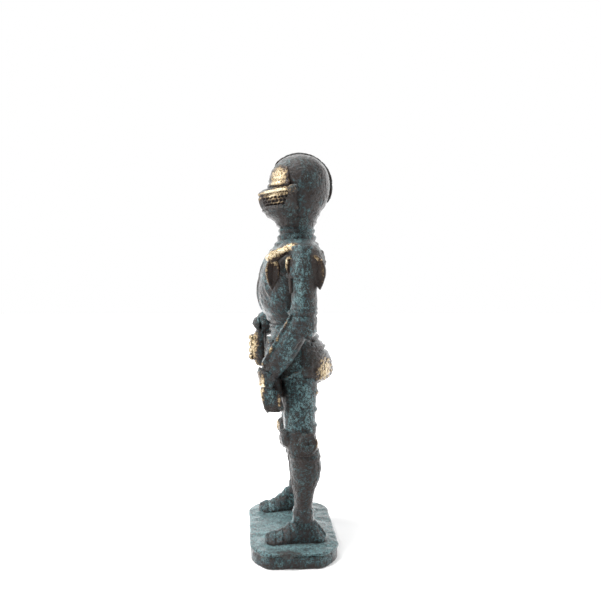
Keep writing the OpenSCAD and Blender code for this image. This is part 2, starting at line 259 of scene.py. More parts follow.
def writeMesh(mesh, points):
    mesh.vertices.foreach_set("co", (points * mm).ravel())
    mesh.update()


def normalsOf(mesh):
    normals = np.empty(len(mesh.vertices) * 3)
    mesh.vertex_normals.foreach_get("vector", normals)
    return normals.reshape(-1, 3)


finishedPieces = []
castDefaults = {
    "voxel": 0.24,
    "soften": 3,
    "bumps": 0.13,
    "grain": 0.09,
    "pits": 0.16,
    "rub": 0.0,
    "edgeRub": 1.0,
    "frontRub": 0.0,
    "backRub": 0.0,
    "greenAndTopLight": 0.0,
    "dark": 0.0,
}
skinSetup = {
    "bumpSize": 2.6,
    "smallBumpSize": 1.3,
    "grainSize": 0.55,
    "pitSize": 0.8,
    "pitLevel": 0.42,
    "pitDepth": 2.4,
    "bulgeWidth": 9,
    "fullBulge": 0.16,
}


def softPatch(points, centre, radii):
    away = (points - np.array(centre)) / np.array(radii)
    return np.exp(-np.einsum("ij,ij->i", away, away) ** 1.5)


# turns loose closed parts into one cast piece with worn, pitted skin
def castPiece(name, shape, slotName, look=None, relief=None, spots=(), shade=()):
    look = {**castDefaults, **(look or {})}
    skin = skinSetup
    title = name + "_cast"
    mesh = bpy.data.meshes.new(title)
    mesh.from_pydata([tuple(c * mm for c in p) for p in shape["points"]], [], shape["faces"])
    rough = bpy.data.objects.new(title + "_rough", mesh)
    bpy.context.scene.collection.objects.link(rough)
    remesh = rough.modifiers.new("cast", "REMESH")
    remesh.mode = "VOXEL"
    remesh.voxel_size = look["voxel"] * mm
    remesh.use_smooth_shade = True
    graph = bpy.context.evaluated_depsgraph_get()
    mesh = bpy.data.meshes.new_from_object(rough.evaluated_get(graph))
    bpy.data.objects.remove(rough)
    mesh.name = title
    points, edges, count = readMesh(mesh)
    points = spread(points, edges, count, look["soften"])
    writeMesh(mesh, points)
    if relief:
        points = points + normalsOf(mesh) * relief(points, normalsOf(mesh))[:, None]
        writeMesh(mesh, points)
        points = spread(points, edges, count, 1)
        writeMesh(mesh, points)
    normals = normalsOf(mesh)
    seed = sum(map(ord, name)) % 7
    bumps = 0.6 * softNoise(points, skin["bumpSize"], seed) + 0.4 * softNoise(points, skin["smallBumpSize"], seed + 10)
    height = look["bumps"] * bumps
    height += look["grain"] * softNoise(points, skin["grainSize"], seed + 20)
    pit = np.clip(softNoise(points, skin["pitSize"], seed + 30) - skin["pitLevel"], 0, 1)
    height -= look["pits"] * pit * skin["pitDepth"]
    points = points + normals * height[:, None]
    writeMesh(mesh, points)

    # where hands have worn it, where the patina sits deep
    wide = spread(points, edges, count, skin["bulgeWidth"])
    bulge = np.einsum("ij,ij->i", points - wide, normals)
    raised = np.clip(bulge / skin["fullBulge"], -1.5, 1.5)
    raised = spread(raised[:, None], edges, count, 1)[:, 0]
    rub = look["rub"] + look["edgeRub"] * 0.42 * np.clip(raised, 0, 1.5) - 0.5 * np.clip(-raised, 0, 1.2)
    ahead, behind = np.clip(-normals[:, 1], 0, 1), np.clip(normals[:, 1], 0, 1)
    rub += look["frontRub"] * ahead**2 + look["backRub"] * behind**2
    greenAndTopLight = np.full(count, look["greenAndTopLight"]) + 0.25 * np.clip(np.abs(normals[:, 0]) - 0.6, 0, 1)
    # painted light from above: faces that look up are pushed towards paler teal
    greenAndTopLight += 0.35 * np.clip(normals[:, 2], 0, 1)
    dark = np.full(count, look["dark"])
    layers = {"rub": rub, "greenAndTopLight": greenAndTopLight, "dark": dark, "hollow": np.clip(-raised, 0, 1.5)}
    for centre, radii, weight in spots:
        layers["rub"] += weight * softPatch(points, centre, radii)
    for centre, radii, tint, weight in shade:
        layers[tint] += weight * softPatch(points, centre, radii)
    for kind, values in layers.items():
        layer = mesh.attributes.new(kind, "FLOAT", "POINT")
        layer.data.foreach_set("value", values.astype(np.float32))
    mesh.polygons.foreach_set("use_smooth", [True] * len(mesh.polygons))
    piece = bpy.data.objects.new(title, mesh)
    bpy.context.scene.collection.objects.link(piece)
    piece.data.materials.append(castMaterial)
    finishedPieces.append((piece, name, slotName))


def sideName(side, part):
    return ("left_" if side > 0 else "right_") + part


# one of a pair, given as the left one and mirrored for the right
def castSide(side, part, shape, slotName, look=None, relief=None, spots=(), shade=()):
    flip = np.array([side, 1, 1])
    if side < 0:
        shape = mirrorShape(shape)
    sideRelief = relief and (lambda points, normals: relief(points * flip, normals * flip))
    sideSpots = [(flip * centre, *rest) for centre, *rest in spots]
    sideShade = [(flip * centre, *rest) for centre, *rest in shade]
    castPiece(sideName(side, part), shape, slotName, look, sideRelief, sideSpots, sideShade)


patina = {
    "patchSize": 330,
    "mottleSize": 1250,
    "speckSize": 3600,
    "bumpDepth": 0.00038,
    "brownBlack": (0.018, 0.0115, 0.009, 1),
    "slate": (0.027, 0.027, 0.029, 1),
    "teal": (0.026, 0.064, 0.074, 1),
    "paleTeal": (0.110, 0.200, 0.212, 1),
    "brassDark": (0.050, 0.028, 0.014, 1),
    "brass": (0.270, 0.205, 0.120, 1),
    "brassPale": (0.740, 0.640, 0.460, 1),
}


def patinaMaterial(name, setup):
    material = bpy.data.materials.new(name)
    material.use_nodes = True
    nodes, links = material.node_tree.nodes, material.node_tree.links
    nodes.clear()
    output = nodes.new("ShaderNodeOutputMaterial")
    shader = nodes.new("ShaderNodeBsdfPrincipled")
    links.new(shader.outputs["BSDF"], output.inputs["Surface"])
    coordinates = nodes.new("ShaderNodeTexCoord").outputs["Object"]

    def noise(scale, detail, rough):
        node = nodes.new("ShaderNodeTexNoise")
        node.inputs["Scale"].default_value = scale
        node.inputs["Detail"].default_value = detail
        node.inputs["Roughness"].default_value = rough
        links.new(coordinates, node.inputs["Vector"])
        return node.outputs["Fac"]

    def attribute(title):
        node = nodes.new("ShaderNodeAttribute")
        node.attribute_name = title
        return node.outputs["Fac"]

    def calc(operation, a, b, clamp=False):
        node = nodes.new("ShaderNodeMath")
        node.operation = operation
        node.use_clamp = clamp
        for socket, value in zip(node.inputs, (a, b)):
            if isinstance(value, (int, float)):
                socket.default_value = value
            else:
                links.new(value, socket)
        return node.outputs[0]

    # a noise centred on nothing, times an amount
    def swing(value, amount):
        return calc("MULTIPLY", calc("SUBTRACT", value, 0.5), amount)

    def remap(value, low, high, outLow=0.0, outHigh=1.0):
        node = nodes.new("ShaderNodeMapRange")
        node.interpolation_type = "SMOOTHSTEP"
        links.new(value, node.inputs["Value"])
        for title, number in (("From Min", low), ("From Max", high), ("To Min", outLow), ("To Max", outHigh)):
            node.inputs[title].default_value = number
        return node.outputs["Result"]

    def mixColor(factor, a, b):
        node = nodes.new("ShaderNodeMix")
        node.data_type = "RGBA"
        links.new(factor, node.inputs[0])
        for socket, value in ((node.inputs[6], a), (node.inputs[7], b)):
            if isinstance(value, tuple):
                socket.default_value = value
            else:
                links.new(value, socket)
        return node.outputs[2]

    patch = noise(setup["patchSize"], 4, 0.6)
    mottle = noise(setup["mottleSize"], 5, 0.7)
    speck = noise(setup["speckSize"], 3, 0.65)
    rub, greenAndTopLight = attribute("rub"), attribute("greenAndTopLight")
    dark, hollow = attribute("dark"), attribute("hollow")
    creviceShade = remap(attribute("creviceShade"), 0.25, 0.95)

    # patina: brown black in the pits, slate, then green-blue bloom, pushed paler on faces that look up as painted light
    # from above
    bloom = calc("ADD", swing(patch, 2.3), greenAndTopLight)
    bloom = calc("ADD", bloom, swing(mottle, 2.1))
    bloom = calc("ADD", bloom, swing(speck, 1.4))
    tealness = remap(bloom, -0.02, 0.40)
    paleness = remap(bloom, 0.30, 0.85)
    base = mixColor(tealness, setup["slate"], setup["teal"])
    base = mixColor(paleness, base, setup["paleTeal"])
    pits = calc("ADD", calc("MULTIPLY", speck, 0.55), calc("MULTIPLY", mottle, 0.45))
    pitMask = remap(pits, 0.55, 0.455)
    deep = calc("ADD", dark, calc("MULTIPLY", hollow, 0.5))
    darkMask = calc("ADD", calc("MULTIPLY", pitMask, 0.85), deep, True)
    base = mixColor(darkMask, base, setup["brownBlack"])

    # rubbed brass kept out of crowded hollows, which get painted shade in brown black; bare brass where it is rubbed,
    # brown along the edge of each rubbed patch
    rub = calc("SUBTRACT", rub, calc("MULTIPLY", creviceShade, 0.35))
    base = mixColor(calc("MULTIPLY", creviceShade, 0.75), base, setup["brownBlack"])
    worn = calc("ADD", rub, swing(mottle, 1.8))
    worn = calc("ADD", worn, swing(speck, 0.9))
    toned = remap(worn, 0.36, 0.52)
    bare = remap(worn, 0.55, 0.68)
    bright = remap(worn, 0.70, 1.35)
    brass = mixColor(bright, setup["brass"], setup["brassPale"])
    base = mixColor(toned, base, setup["brassDark"])
    base = mixColor(bare, base, brass)
    links.new(base, shader.inputs["Base Color"])
    links.new(remap(bare, 0, 1, 0.18, 1.0), shader.inputs["Metallic"])
    gloss = calc("ADD", remap(bare, 0, 1, 0.36, 0.28), swing(mottle, 0.35))
    links.new(gloss, shader.inputs["Roughness"])

    # waxed sheen that only shows at a low angle
    facing = nodes.new("ShaderNodeLayerWeight")
    facing.inputs["Blend"].default_value = 0.5
    links.new(remap(facing.outputs["Facing"], 0.40, 0.85, 0.0, 1.0), shader.inputs["Coat Weight"])
    shader.inputs["Coat Roughness"].default_value = 0.25
    shader.inputs["Specular IOR Level"].default_value = 0.28
    bump = nodes.new("ShaderNodeBump")
    bump.inputs["Distance"].default_value = setup["bumpDepth"]
    height = calc("ADD", calc("MULTIPLY", mottle, 0.7), calc("MULTIPLY", speck, 0.45))
    links.new(height, bump.inputs["Height"])
    links.new(bump.outputs["Normal"], shader.inputs["Normal"])
    return material


castMaterial = patinaMaterial("patinatedBrass", patina)
print("patina ready")

plinthSetup = {
    "edgeRadius": 0.7,
    "corner": 5.6,
    "mound": (6.0, 11.4, 0.75),
    "bow": 3.2,
    "flare": 1.2,
    "swell": 1.2,
    "gateLump": (21.4, -2.0, 4.1),
    "gateSize": (1.0, 2.5, 1.2),
}


def roundedRing(lengthHalf, depthHalf, corner, z, count=24):
    points = []
    for cx, cy, start in ((1, 1, 0), (-1, 1, 90), (-1, -1, 180), (1, -1, 270)):
        for k in range(count):
            a = math.radians(start + 90 * k / (count - 1))
            points.append(
                (
                    cx * (lengthHalf - corner) + corner * math.cos(a),
                    cy * (depthHalf - corner) + corner * math.sin(a),
                    z,
                )
            )
    return points


# both ends swell out in the middle, as the mould left them
def bowEnds(shape, lengthHalf, depthHalf, bow, flare, swell):
    bowed = []
    for x, y, z in shape["points"]:
        across = min(1.0, abs(y) / depthHalf)
        x = x * (1 + (swell - (bow + swell) * across**2) / lengthHalf)
        wide = flare * max(0, -x / lengthHalf) * max(0, -y / depthHalf)
        bowed.append((x, y - wide, z))
    shape["points"] = bowed


def addSlab(shape, lengthHalf, depthHalf, corner, low, high, bevel):
    rings = []
    steps = 6
    for k in range(steps + 1):
        a = math.pi / 2 * k / steps
        inset = bevel * (1 - math.sin(a))
        rings.append((inset, low + bevel * (1 - math.cos(a))))
    for k in range(steps + 1):
        a = math.pi / 2 * k / steps
        inset = bevel * (1 - math.cos(a))
        rings.append((inset, high - bevel * (1 - math.sin(a))))
    points = []
    for inset, z in rings:
        points += roundedRing(lengthHalf - inset, depthHalf - inset, corner - inset, z)
    around = 24 * 4
    points += [(0, 0, low), (0, 0, high)]
    addPart(shape, points, ringFaces(len(rings), around))


def makePlinth(setup):
    low, high = boxOf("plinth_block")
    half = (high - low) / 2
    block = newShape()
    addSlab(block, half[0], half[1], setup["corner"], low[2], high[2] + 0.3, 0.35)
    bowEnds(block, half[0], half[1], setup["bow"], setup["flare"], setup["swell"] + 0.5)
    lump = setup["gateLump"]
    castPiece(
        "plinth_block", block, "plinth_brass",
        {"voxel": 0.3, "bumps": 0.16, "grain": 0.07, "pits": 0.14, "greenAndTopLight": 0.15, "soften": 2},
        shade=[((21.5, 0, 0.3), (2, 14, 0.9), "dark", 0.6), ((0, -12.5, 0.3), (24, 2, 0.9), "dark", 0.6)],
    )
    low, high = boxOf("plinth_slab")
    half = (high - low) / 2
    slab = newShape()
    addSlab(slab, half[0], half[1], setup["corner"], low[2], high[2], setup["edgeRadius"])
    bowEnds(slab, half[0], half[1], setup["bow"], setup["flare"], setup["swell"])
    addBall(slab, lump, setup["gateSize"])
    for side in (1, -1):
        addBall(slab, (side * footX, side * 0.9 - 0.4, groundZ - 0.1), setup["mound"], around=64)

    def ground(points, normals):
        top = np.clip(normals[:, 2], 0, 1) ** 4
        wave = 0.22 * softNoise(points, 6.0, 61) + 0.12 * softNoise(points, 2.4, 62)
        return top * (wave - 0.12)

    castPiece(
        "plinth_slab", slab, "plinth_brass",
        {"voxel": 0.28, "bumps": 0.17, "grain": 0.06, "pits": 0.08, "greenAndTopLight": 0.55, "soften": 2, "edgeRub": 0.5},
        relief=ground,
        shade=[(lump, (1.6, 3.0, 1.6), "dark", 0.9), ((4, -6, groundZ), (16, 7, 2), "greenAndTopLight", 0.3)],
    )


makePlinth(plinthSetup)
print("plinth done")

# sections from the ground up, for the figure's left leg
hipX = 6.2


def legX(share):
    return hipX + (footX - hipX) * share


legKeys = [
    (legX(1.0), 2.6, 6, 2.9, 2.7),
    (legX(0.99), 2.7, 9.4, 2.6, 2.5),
    (legX(0.97), 3.0, 14, 2.9, 2.9),
    (legX(0.94), 3.6, 20, 4.0, 4.3),
    (legX(0.89), 3.1, 25.5, 4.1, 4.5),
    (legX(0.78), 1.9, 31, 4.1, 4.3),
    (legX(0.58), 1.8, 36, 4.5, 4.6),
    (legX(0.28), 2.0, 42, 5.2, 5.0),
    (legX(0.04), 2.2, 47, 5.8, 5.4),
]
legSetup = {
    "stagger": 0.9,
    "kneeZ": 28.4,
    "thighLames": (33.1, 37.4, 42.2),
    "toeLames": 2.1,
    # foot: y, half width, height
    "foot": [
        (8.6, 0.5, 0.6), (7.9, 1.6, 1.7), (6.6, 2.3, 3.2), (5.0, 2.6, 6.0), (2.4, 2.7, 8.2), (0.0, 2.8, 7.4),
        (-1.6, 3.1, 5.7), (-3.2, 3.4, 4.3), (-5.2, 3.6, 3.0), (-7.0, 3.4, 2.8), (-8.3, 2.6, 2.4), (-9.1, 0.9, 1.2),
    ],
}


def lift(keys):
    return [(k[0], k[1], k[2] + groundZ, *k[3:]) for k in keys]


def legRows(low, high, count, grow=0.0):
    rows = spline(legKeys, 200)
    rows = rows[(rows[:, 2] >= low) & (rows[:, 2] <= high)]
    pick = np.linspace(0, len(rows) - 1, count).astype(int)
    rows = rows[pick]
    rows[:, 3:5] += grow
    return [tuple(r) for r in rows]


def makeSabaton(side, setup):
    foot = newShape()
    shift = side * setup["stagger"]
    rows = spline(setup["foot"], 44)
    around = 40
    points = []
    for y, half, height in rows:
        for k in range(around):
            a = 2 * math.pi * k / around
            across, up = math.cos(a), math.sin(a)
            across = math.copysign(abs(across) ** 0.8, across)
            rise = up * height if up > 0 else up * 0.7
            narrow = 1 - 0.35 * max(up, 0) ** 2
            points.append((footX + across * half * narrow, y + shift, groundZ + rise))
    points += [(footX, rows[0][0] + shift, groundZ), (footX, rows[-1][0] + shift, groundZ)]
    addPart(foot, points, ringFaces(len(rows), around))
    addLoft(foot, lift(legRows(6.0, 9.6, 6, 0.35)), 36, 14)
    y, z = 8.3 + shift, groundZ + 2.8
    spur = [(footX, y - 3.9, z + 3.0), (footX, y - 1.6, z + 0.7), (footX, y - 0.1, z - 1.4)]
    addBar(foot, spur, [0.7, 0.6, 0.4])

    def plates(points, normals):
        forward = points[:, 1] - shift
        top = np.clip(normals[:, 2] * 0.6 + 0.6, 0, 1)
        lames = lameStep(-forward, setup["toeLames"])
        strength = np.clip((1.2 - forward) / 2, 0, 1) * top
        ridge = bell(np.abs(points[:, 0]) - footX, 0.55) * np.clip(-forward / 3, 0, 1) * top
        ankle = 0.35 * bell(points[:, 2] - groundZ - 8.6, 0.5)
        return 0.26 * strength * lames + 0.22 * ridge + 0.5 * ankle

    castSide(
        side, "sabaton", foot, "patinated_brass",
        {"voxel": 0.2, "bumps": 0.10, "greenAndTopLight": 0.06, "edgeRub": 0.75}, relief=plates,
    )


def makeGreave(side):
    shin = newShape()
    addLoft(shin, lift(legRows(8.2, 26.6, 17)), 44, 38)

    def shape(points, normals):
        z = points[:, 2] - groundZ
        front = np.clip(-normals[:, 1], 0, 1)
        crest = 0.45 * bell(np.abs(points[:, 0]) - legX(0.95), 0.6) * front * bell(z - 16, 7)
        cuff = 0.15 * bell(z - 24.2, 0.55) + 0.25 * bell(z - 9.2, 0.5) - 0.15 * bell(z - 23.2, 0.4)
        return crest + cuff

    castSide(
        side, "greave", shin, "patinated_brass",
        {"bumps": 0.17, "greenAndTopLight": -0.06, "dark": 0.28}, relief=shape,
        shade=[((13.5, 3, groundZ + 22), (3.5, 4, 6), "greenAndTopLight", 0.35)],
    )


def makePoleyn(side, setup):
    knee = newShape()
    kneeZ = groundZ + setup["kneeZ"]
    kneeX = legX(0.86)
    addLoft(knee, [
        (kneeX + 0.2, 2.8, kneeZ - 3.2, 4.2, 4.5), (kneeX + 0.1, 2.4, kneeZ - 1.8, 4.6, 4.7),
        (kneeX, 2.0, kneeZ, 4.8, 4.8),
        (legX(0.80), 1.9, kneeZ + 1.8, 4.6, 4.6), (legX(0.77), 1.9, kneeZ + 3.4, 4.3, 4.4),
    ], 44, 22)
    addBall(knee, (kneeX, -2.0, kneeZ + (1.2 if side > 0 else -0.2)), (3.1, 2.1, 2.8))
    addBall(knee, (kneeX + 4.3, 3.7, kneeZ + 0.3), (1.0, 2.9, 3.1), turn=-8)

    def shape(points, normals):
        z = points[:, 2] - kneeZ
        x = np.abs(points[:, 0])
        front = np.clip(-normals[:, 1], 0, 1)
        ridge = 0.35 * bell(x - kneeX, 0.5) * front
        rims = 0.32 * bell(z - 2.9, 0.35) + 0.32 * bell(z + 2.9, 0.35)
        away = np.sqrt((points[:, 1] - 3.9) ** 2 + (z - 0.4) ** 2)
        outer = np.clip((x - kneeX - 2.5) / 1.5, 0, 1)
        dimple = -0.75 * bell(away, 0.75) * outer + 0.3 * bell(away - 2.2, 0.4) * outer
        return ridge + rims + dimple

    castSide(
        side, "poleyn", knee, "rubbed_brass",
        {"voxel": 0.2, "bumps": 0.10, "dark": 0.35}, relief=shape,
        spots=[((kneeX, -4.4, kneeZ - 0.4), (3.0, 1.6, 2.2), 0.3 if side > 0 else 0.85),
               ((kneeX + 4.6, 6.6, kneeZ + 0.6), (1.6, 0.8, 2.4), 0.45)],
    )


def makeCuisse(side, setup):
    thigh = newShape()
    addLoft(thigh, lift(legRows(30.2, 46.9, 16, 0.1)), 48, 36)
    hemZ = 31.6
    addLoft(thigh, lift([
        (legX(0.78), 1.8, hemZ - 0.9, 4.0, 4.4), (legX(0.76), 1.9, hemZ, 4.4, 4.8),
        (legX(0.72), 1.8, hemZ + 1.6, 4.2, 4.5),
    ]), 40, 10)

    def shape(points, normals):
        z = points[:, 2] - groundZ
        back = np.clip(normals[:, 1], 0, 1)
        lames = sum(bell(z - level, 0.55) for level in setup["thighLames"])
        front = np.clip(-normals[:, 1], 0, 1)
        crest = 0.3 * bell(np.abs(points[:, 0]) - legX(0.5), 0.7) * front
        return 0.5 * lames * back + 0.12 * lames + crest

    castSide(
        side, "cuisse", thigh, "patinated_brass",
        {"bumps": 0.17, "greenAndTopLight": 0.16}, relief=shape,
        spots=[((legX(0.4), 6.6, groundZ + 42), (3, 1.2, 4), 0.25)],
        shade=[((13, 2.5, groundZ + 40), (3, 3, 9), "greenAndTopLight", 0.3)],
    )


for side in (1, -1):
    makeSabaton(side, legSetup)
    makeGreave(side)
    makePoleyn(side, legSetup)
    makeCuisse(side, legSetup)
print("legs done")

skirtSetup = {
    "keys": [
        (0, 1.4, 45.2, 12.2, 7.4), (0, 1.2, 49, 12.1, 7.8), (0, 0.8, 53, 11.3, 7.6), (0, 0.4, 57, 9.9, 7.0),
        (0, 0.2, 61.6, 8.3, 6.3),
    ],
    "rumpKeys": [
        (0, 2.0, 44.6, 10.8, 7.2), (0, 2.9, 46.4, 11.8, 9.1), (0, 3.0, 49.4, 12.3, 9.5), (0, 2.5, 53.4, 11.4, 8.9),
        (0, 1.5, 57.2, 10.2, 7.5), (0, 0.8, 60.4, 8.8, 6.3),
    ],
    "lame": 3.0,
}


def makeSkirt(setup):
    skirt = newShape()
    addLoft(skirt, lift(setup["keys"]), 72, 48)

    def bands(points, normals):
        z = points[:, 2] - groundZ
        side = np.clip(np.abs(normals[:, 0]), 0, 1)
        lames = 0.30 * lameStep(z, setup["lame"])
        hemLine = 46.6 + 0.55 * np.clip(points[:, 1] + 3, 0, 9) * side
        hem = 0.45 * bell(z - hemLine, 0.5) - 0.3 * bell(z - hemLine + 1.1, 0.4)
        return lames * (1 - 0.6 * side) + hem

    castPiece(
        "fauld", skirt, "patinated_brass", {"bumps": 0.17, "greenAndTopLight": 0.15}, relief=bands,
        shade=[((12, 0, groundZ + 52), (4, 6, 7), "greenAndTopLight", 0.25)],
    )
    rump = newShape()
    addLoft(rump, lift(setup["rumpKeys"]), 72, 40)
    rump["points"] = [(x, max(y, 2.0 + 0.02 * abs(x)), z) for x, y, z in rump["points"]]

    def folds(points, normals):
        z = points[:, 2] - groundZ
        back = np.clip(points[:, 1] - 4, 0, 1.5) / 1.5
        slots = -0.9 * bell(z - 57.5, 0.45) - 0.9 * bell(z - 54.6, 0.45)
        slots = slots * (0.35 + 0.65 * np.clip(softNoise(points, 2.2, 71) + 0.6, 0, 1))
        rims = 0.35 * bell(z - 58.3, 0.4) + 0.35 * bell(z - 55.4, 0.4)
        low = np.clip((53.0 - z) / 1.5, 0, 1)
        clumps = 0.24 * softNoise(points, 0.9, 72) + 0.12 * softNoise(points, 0.55, 73)
        return back * (slots + rims) + low * back * clumps

    castPiece(
        "culet", rump, "rubbed_brass",
        {"bumps": 0.10, "voxel": 0.2, "greenAndTopLight": -0.05, "edgeRub": 1.2, "dark": 0.3}, relief=folds,
        spots=[((s * 7.6, 9.4, groundZ + 48.8), (5.4, 4.0, 4.2), 0.78) for s in (1, -1)],
        shade=[((10.5, 6.4, groundZ + 51), (2.4, 2.6, 4), "dark", 0.5)],
    )


tassetSetup = {
    "sections": [
        (legX(0.0), -6.0, 57.8, 3.4, 1.4), (legX(0.11), -6.3, 54, 4.3, 1.7), (legX(0.21), -5.9, 48, 4.5, 1.9),
        (legX(0.26), -4.6, 43, 3.8, 1.9), (legX(0.32), -3.5, 40.8, 1.6, 1.3),
    ],
    "lame": 2.7,
}


def makeTasset(side, setup):
    plate = newShape()
    addLoft(plate, lift(setup["sections"]), 40, 34)

    def shape(points, normals):
        x = np.abs(points[:, 0])
        z = points[:, 2] - groundZ
        front = np.clip(-normals[:, 1], 0, 1)
        ridge = 0.3 * bell(x - legX(0.2), 0.5) * front
        lames = 0.26 * lameStep(z, setup["lame"]) * front
        return ridge + lames

    castSide(
        side, "tasset", plate, "patinated_brass",
        {"voxel": 0.2, "greenAndTopLight": 0.0, "frontRub": 0.22}, relief=shape,
    )


beltSetup = {"radius": 1.05, "inset": 0.9, "buckle": (1.7, 0.7, 1.4), "groove": 0.3}


def makeBelt(setup):
    low, high = boxOf("belt")
    centre, half = (low + high) / 2, (high - low) / 2
    belt = newShape()
    reach = half - setup["inset"]
    path = []
    for k in range(33):
        a = 2 * math.pi * k / 32
        path.append((centre[0] + reach[0] * math.cos(a), centre[1] + reach[1] * math.sin(a), centre[2]))
    addBar(belt, path, [setup["radius"]] * len(path), 16, 96)
    addBall(belt, (0, low[1] + 0.3, centre[2]), setup["buckle"])

    def groove(points, normals):
        z = points[:, 2] - centre[2]
        away = np.sqrt(points[:, 0] ** 2 + z**2)
        return -setup["groove"] * bell(z, 0.3) - 0.35 * bell(away, 0.7) * np.clip(-normals[:, 1], 0, 1)

    castPiece("belt", belt, "dark_brass", {"voxel": 0.18, "greenAndTopLight": 0.1, "bumps": 0.08}, relief=groove)


makeSkirt(skirtSetup)
for side in (1, -1):
    makeTasset(side, tassetSetup)
makeBelt(beltSetup)
print("skirt done")

torsoSetup = {
    "keys": [
        (0, 0.2, 61.8, 8.2, 6.2), (0, -0.9, 66.4, 9.7, 8.1), (0, -1.3, 71.6, 11.1, 9.1), (0, -0.7, 77, 12.3, 9.1),
        (0, 0.1, 82, 12.1, 8.3), (0, 1.3, 85.6, 10.4, 6.6), (0, 1.5, 88, 6.2, 5.4),
    ],
    "seamY": 1.4,
}


def makeTorso(setup):
    for front in (True, False):
        body = newShape()
        addLoft(body, lift(setup["keys"]), 72, 48)
        seam = setup["seamY"]
        if front:
            body["points"] = [(x, min(y, seam), z) for x, y, z in body["points"]]
        else:
            body["points"] = [(x, max(y, seam), z) for x, y, z in body["points"]]

        def shape(points, normals):
            z = points[:, 2] - groundZ
            x = np.abs(points[:, 0])
            ahead = np.clip(-normals[:, 1], 0, 1) if front else np.clip(normals[:, 1], 0, 1)
            crest = (0.55 if front else -0.3) * bell(x, 0.8) * ahead * np.clip((z - 62) / 6, 0, 1)
            waist = 0.40 * bell(z - 63.6, 0.45) - 0.25 * bell(z - 64.8, 0.4)
            collar = 0.5 * bell(z - 84.6 + 0.05 * x**2, 0.5)
            arm = 0.45 * bell(np.hypot(x - 12.6, (z - 76.5) * 0.62) - 5.4, 0.45) * ahead
            return crest + waist + collar * ahead + arm

        name = "breastplate" if front else "backplate"
        castPiece(
            name, body, "patinated_brass",
            {"bumps": 0.17, "greenAndTopLight": 0.10, "frontRub": 0.16, "backRub": 0.12}, relief=shape,
        )


gorgetSections = [
    (0, 1.5, 83.6, 9.6, 8.0), (0, 1.5, 85.4, 8.2, 7.3), (0, 1.5, 87.2, 6.6, 6.3), (0, 1.5, 88.6, 5.7, 5.8),
    (0, 1.5, 90.4, 5.2, 5.4), (0, 1.5, 92.4, 4.9, 5.2),
]


def makeGorget(sections):
    collar = newShape()
    addLoft(collar, lift(sections), 56, 34)

    def rings(points, normals):
        z = points[:, 2] - groundZ
        rolled = 0.45 * bell(z - 90.9, 0.5) + 0.40 * bell(z - 88.9, 0.5)
        rolled = rolled + 0.4 * bell(z - 86.7, 0.5) + 0.45 * bell(z - 84.6, 0.45)
        grooves = -0.25 * bell(z - 89.9, 0.3) - 0.3 * bell(z - 87.8, 0.3) - 0.3 * bell(z - 85.6, 0.35)
        return rolled + grooves

    castPiece(
        "gorget", collar, "patinated_brass", {"voxel": 0.2, "greenAndTopLight": 0.18, "edgeRub": 0.5}, relief=rings,
    )


makeTorso(torsoSetup)
makeGorget(gorgetSections)
print("torso done")

armSetup = {
    "upper": [
        (armX * 0.90, 2.6, 85, 4.2, 3.9), (armX * 0.97, 2.8, 80, 4.3, 4.1), (armX, 2.8, 74, 4.0, 3.8),
        (armX, 2.8, 68, 3.7, 3.7), (armX, 2.7, 65.6, 3.6, 3.8),
    ],
}


def makeArm(side, setup):
    upper = newShape()
    addLoft(upper, lift(setup["upper"]), 48, 34)

    def stripe(points, normals):
        z = points[:, 2] - groundZ
        outer = np.clip((np.abs(points[:, 0]) - armX - 1.5) / 1.5, 0, 1)
        band = outer * bell(np.clip(np.abs(points[:, 1] - 1.2) - 0.9, 0, 9), 0.35)
        edge = outer * bell(points[:, 1], 0.3)
        return 0.42 * band + 0.35 * edge + 0.3 * bell(z - 67.0, 0.4)

    castSide(
        side, "rerebrace", upper, "patinated_brass",
        {"bumps": 0.17, "greenAndTopLight": 0.16}, relief=stripe,
        shade=[((armX + 4, 1.2, groundZ + 78), (2.5, 1.6, 14), "greenAndTopLight", 0.35),
               ((armX + 2, 5.8, groundZ + 74), (5, 2.2, 9), "dark", 0.7)],
    )
    elbow = newShape()
    addLoft(elbow, lift([
        (armX, 2.6, 58.2, 1.2, 1.4), (armX, 2.7, 59.6, 3.2, 3.3), (armX, 2.4, 62.4, 4.0, 4.1),
        (armX, 2.3, 66.6, 3.8, 4.1),
    ]), 40, 26)
    addBall(elbow, (armX + 2.6, 1.6, groundZ + 62.8), (1.7, 2.7, 3.0))

    def cup(points, normals):
        z = points[:, 2] - groundZ
        return 0.3 * bell(z - 65.9, 0.4) - 0.25 * bell(z - 64.9, 0.35) + 0.25 * bell(z - 60.4, 0.4)

    castSide(
        side, "couter", elbow, "patinated_brass",
        {"voxel": 0.2, "greenAndTopLight": 0.12}, relief=cup,
        shade=[((armX + 3.5, 4.4, groundZ + 62), (3, 1.8, 4), "dark", 0.3)],
    )


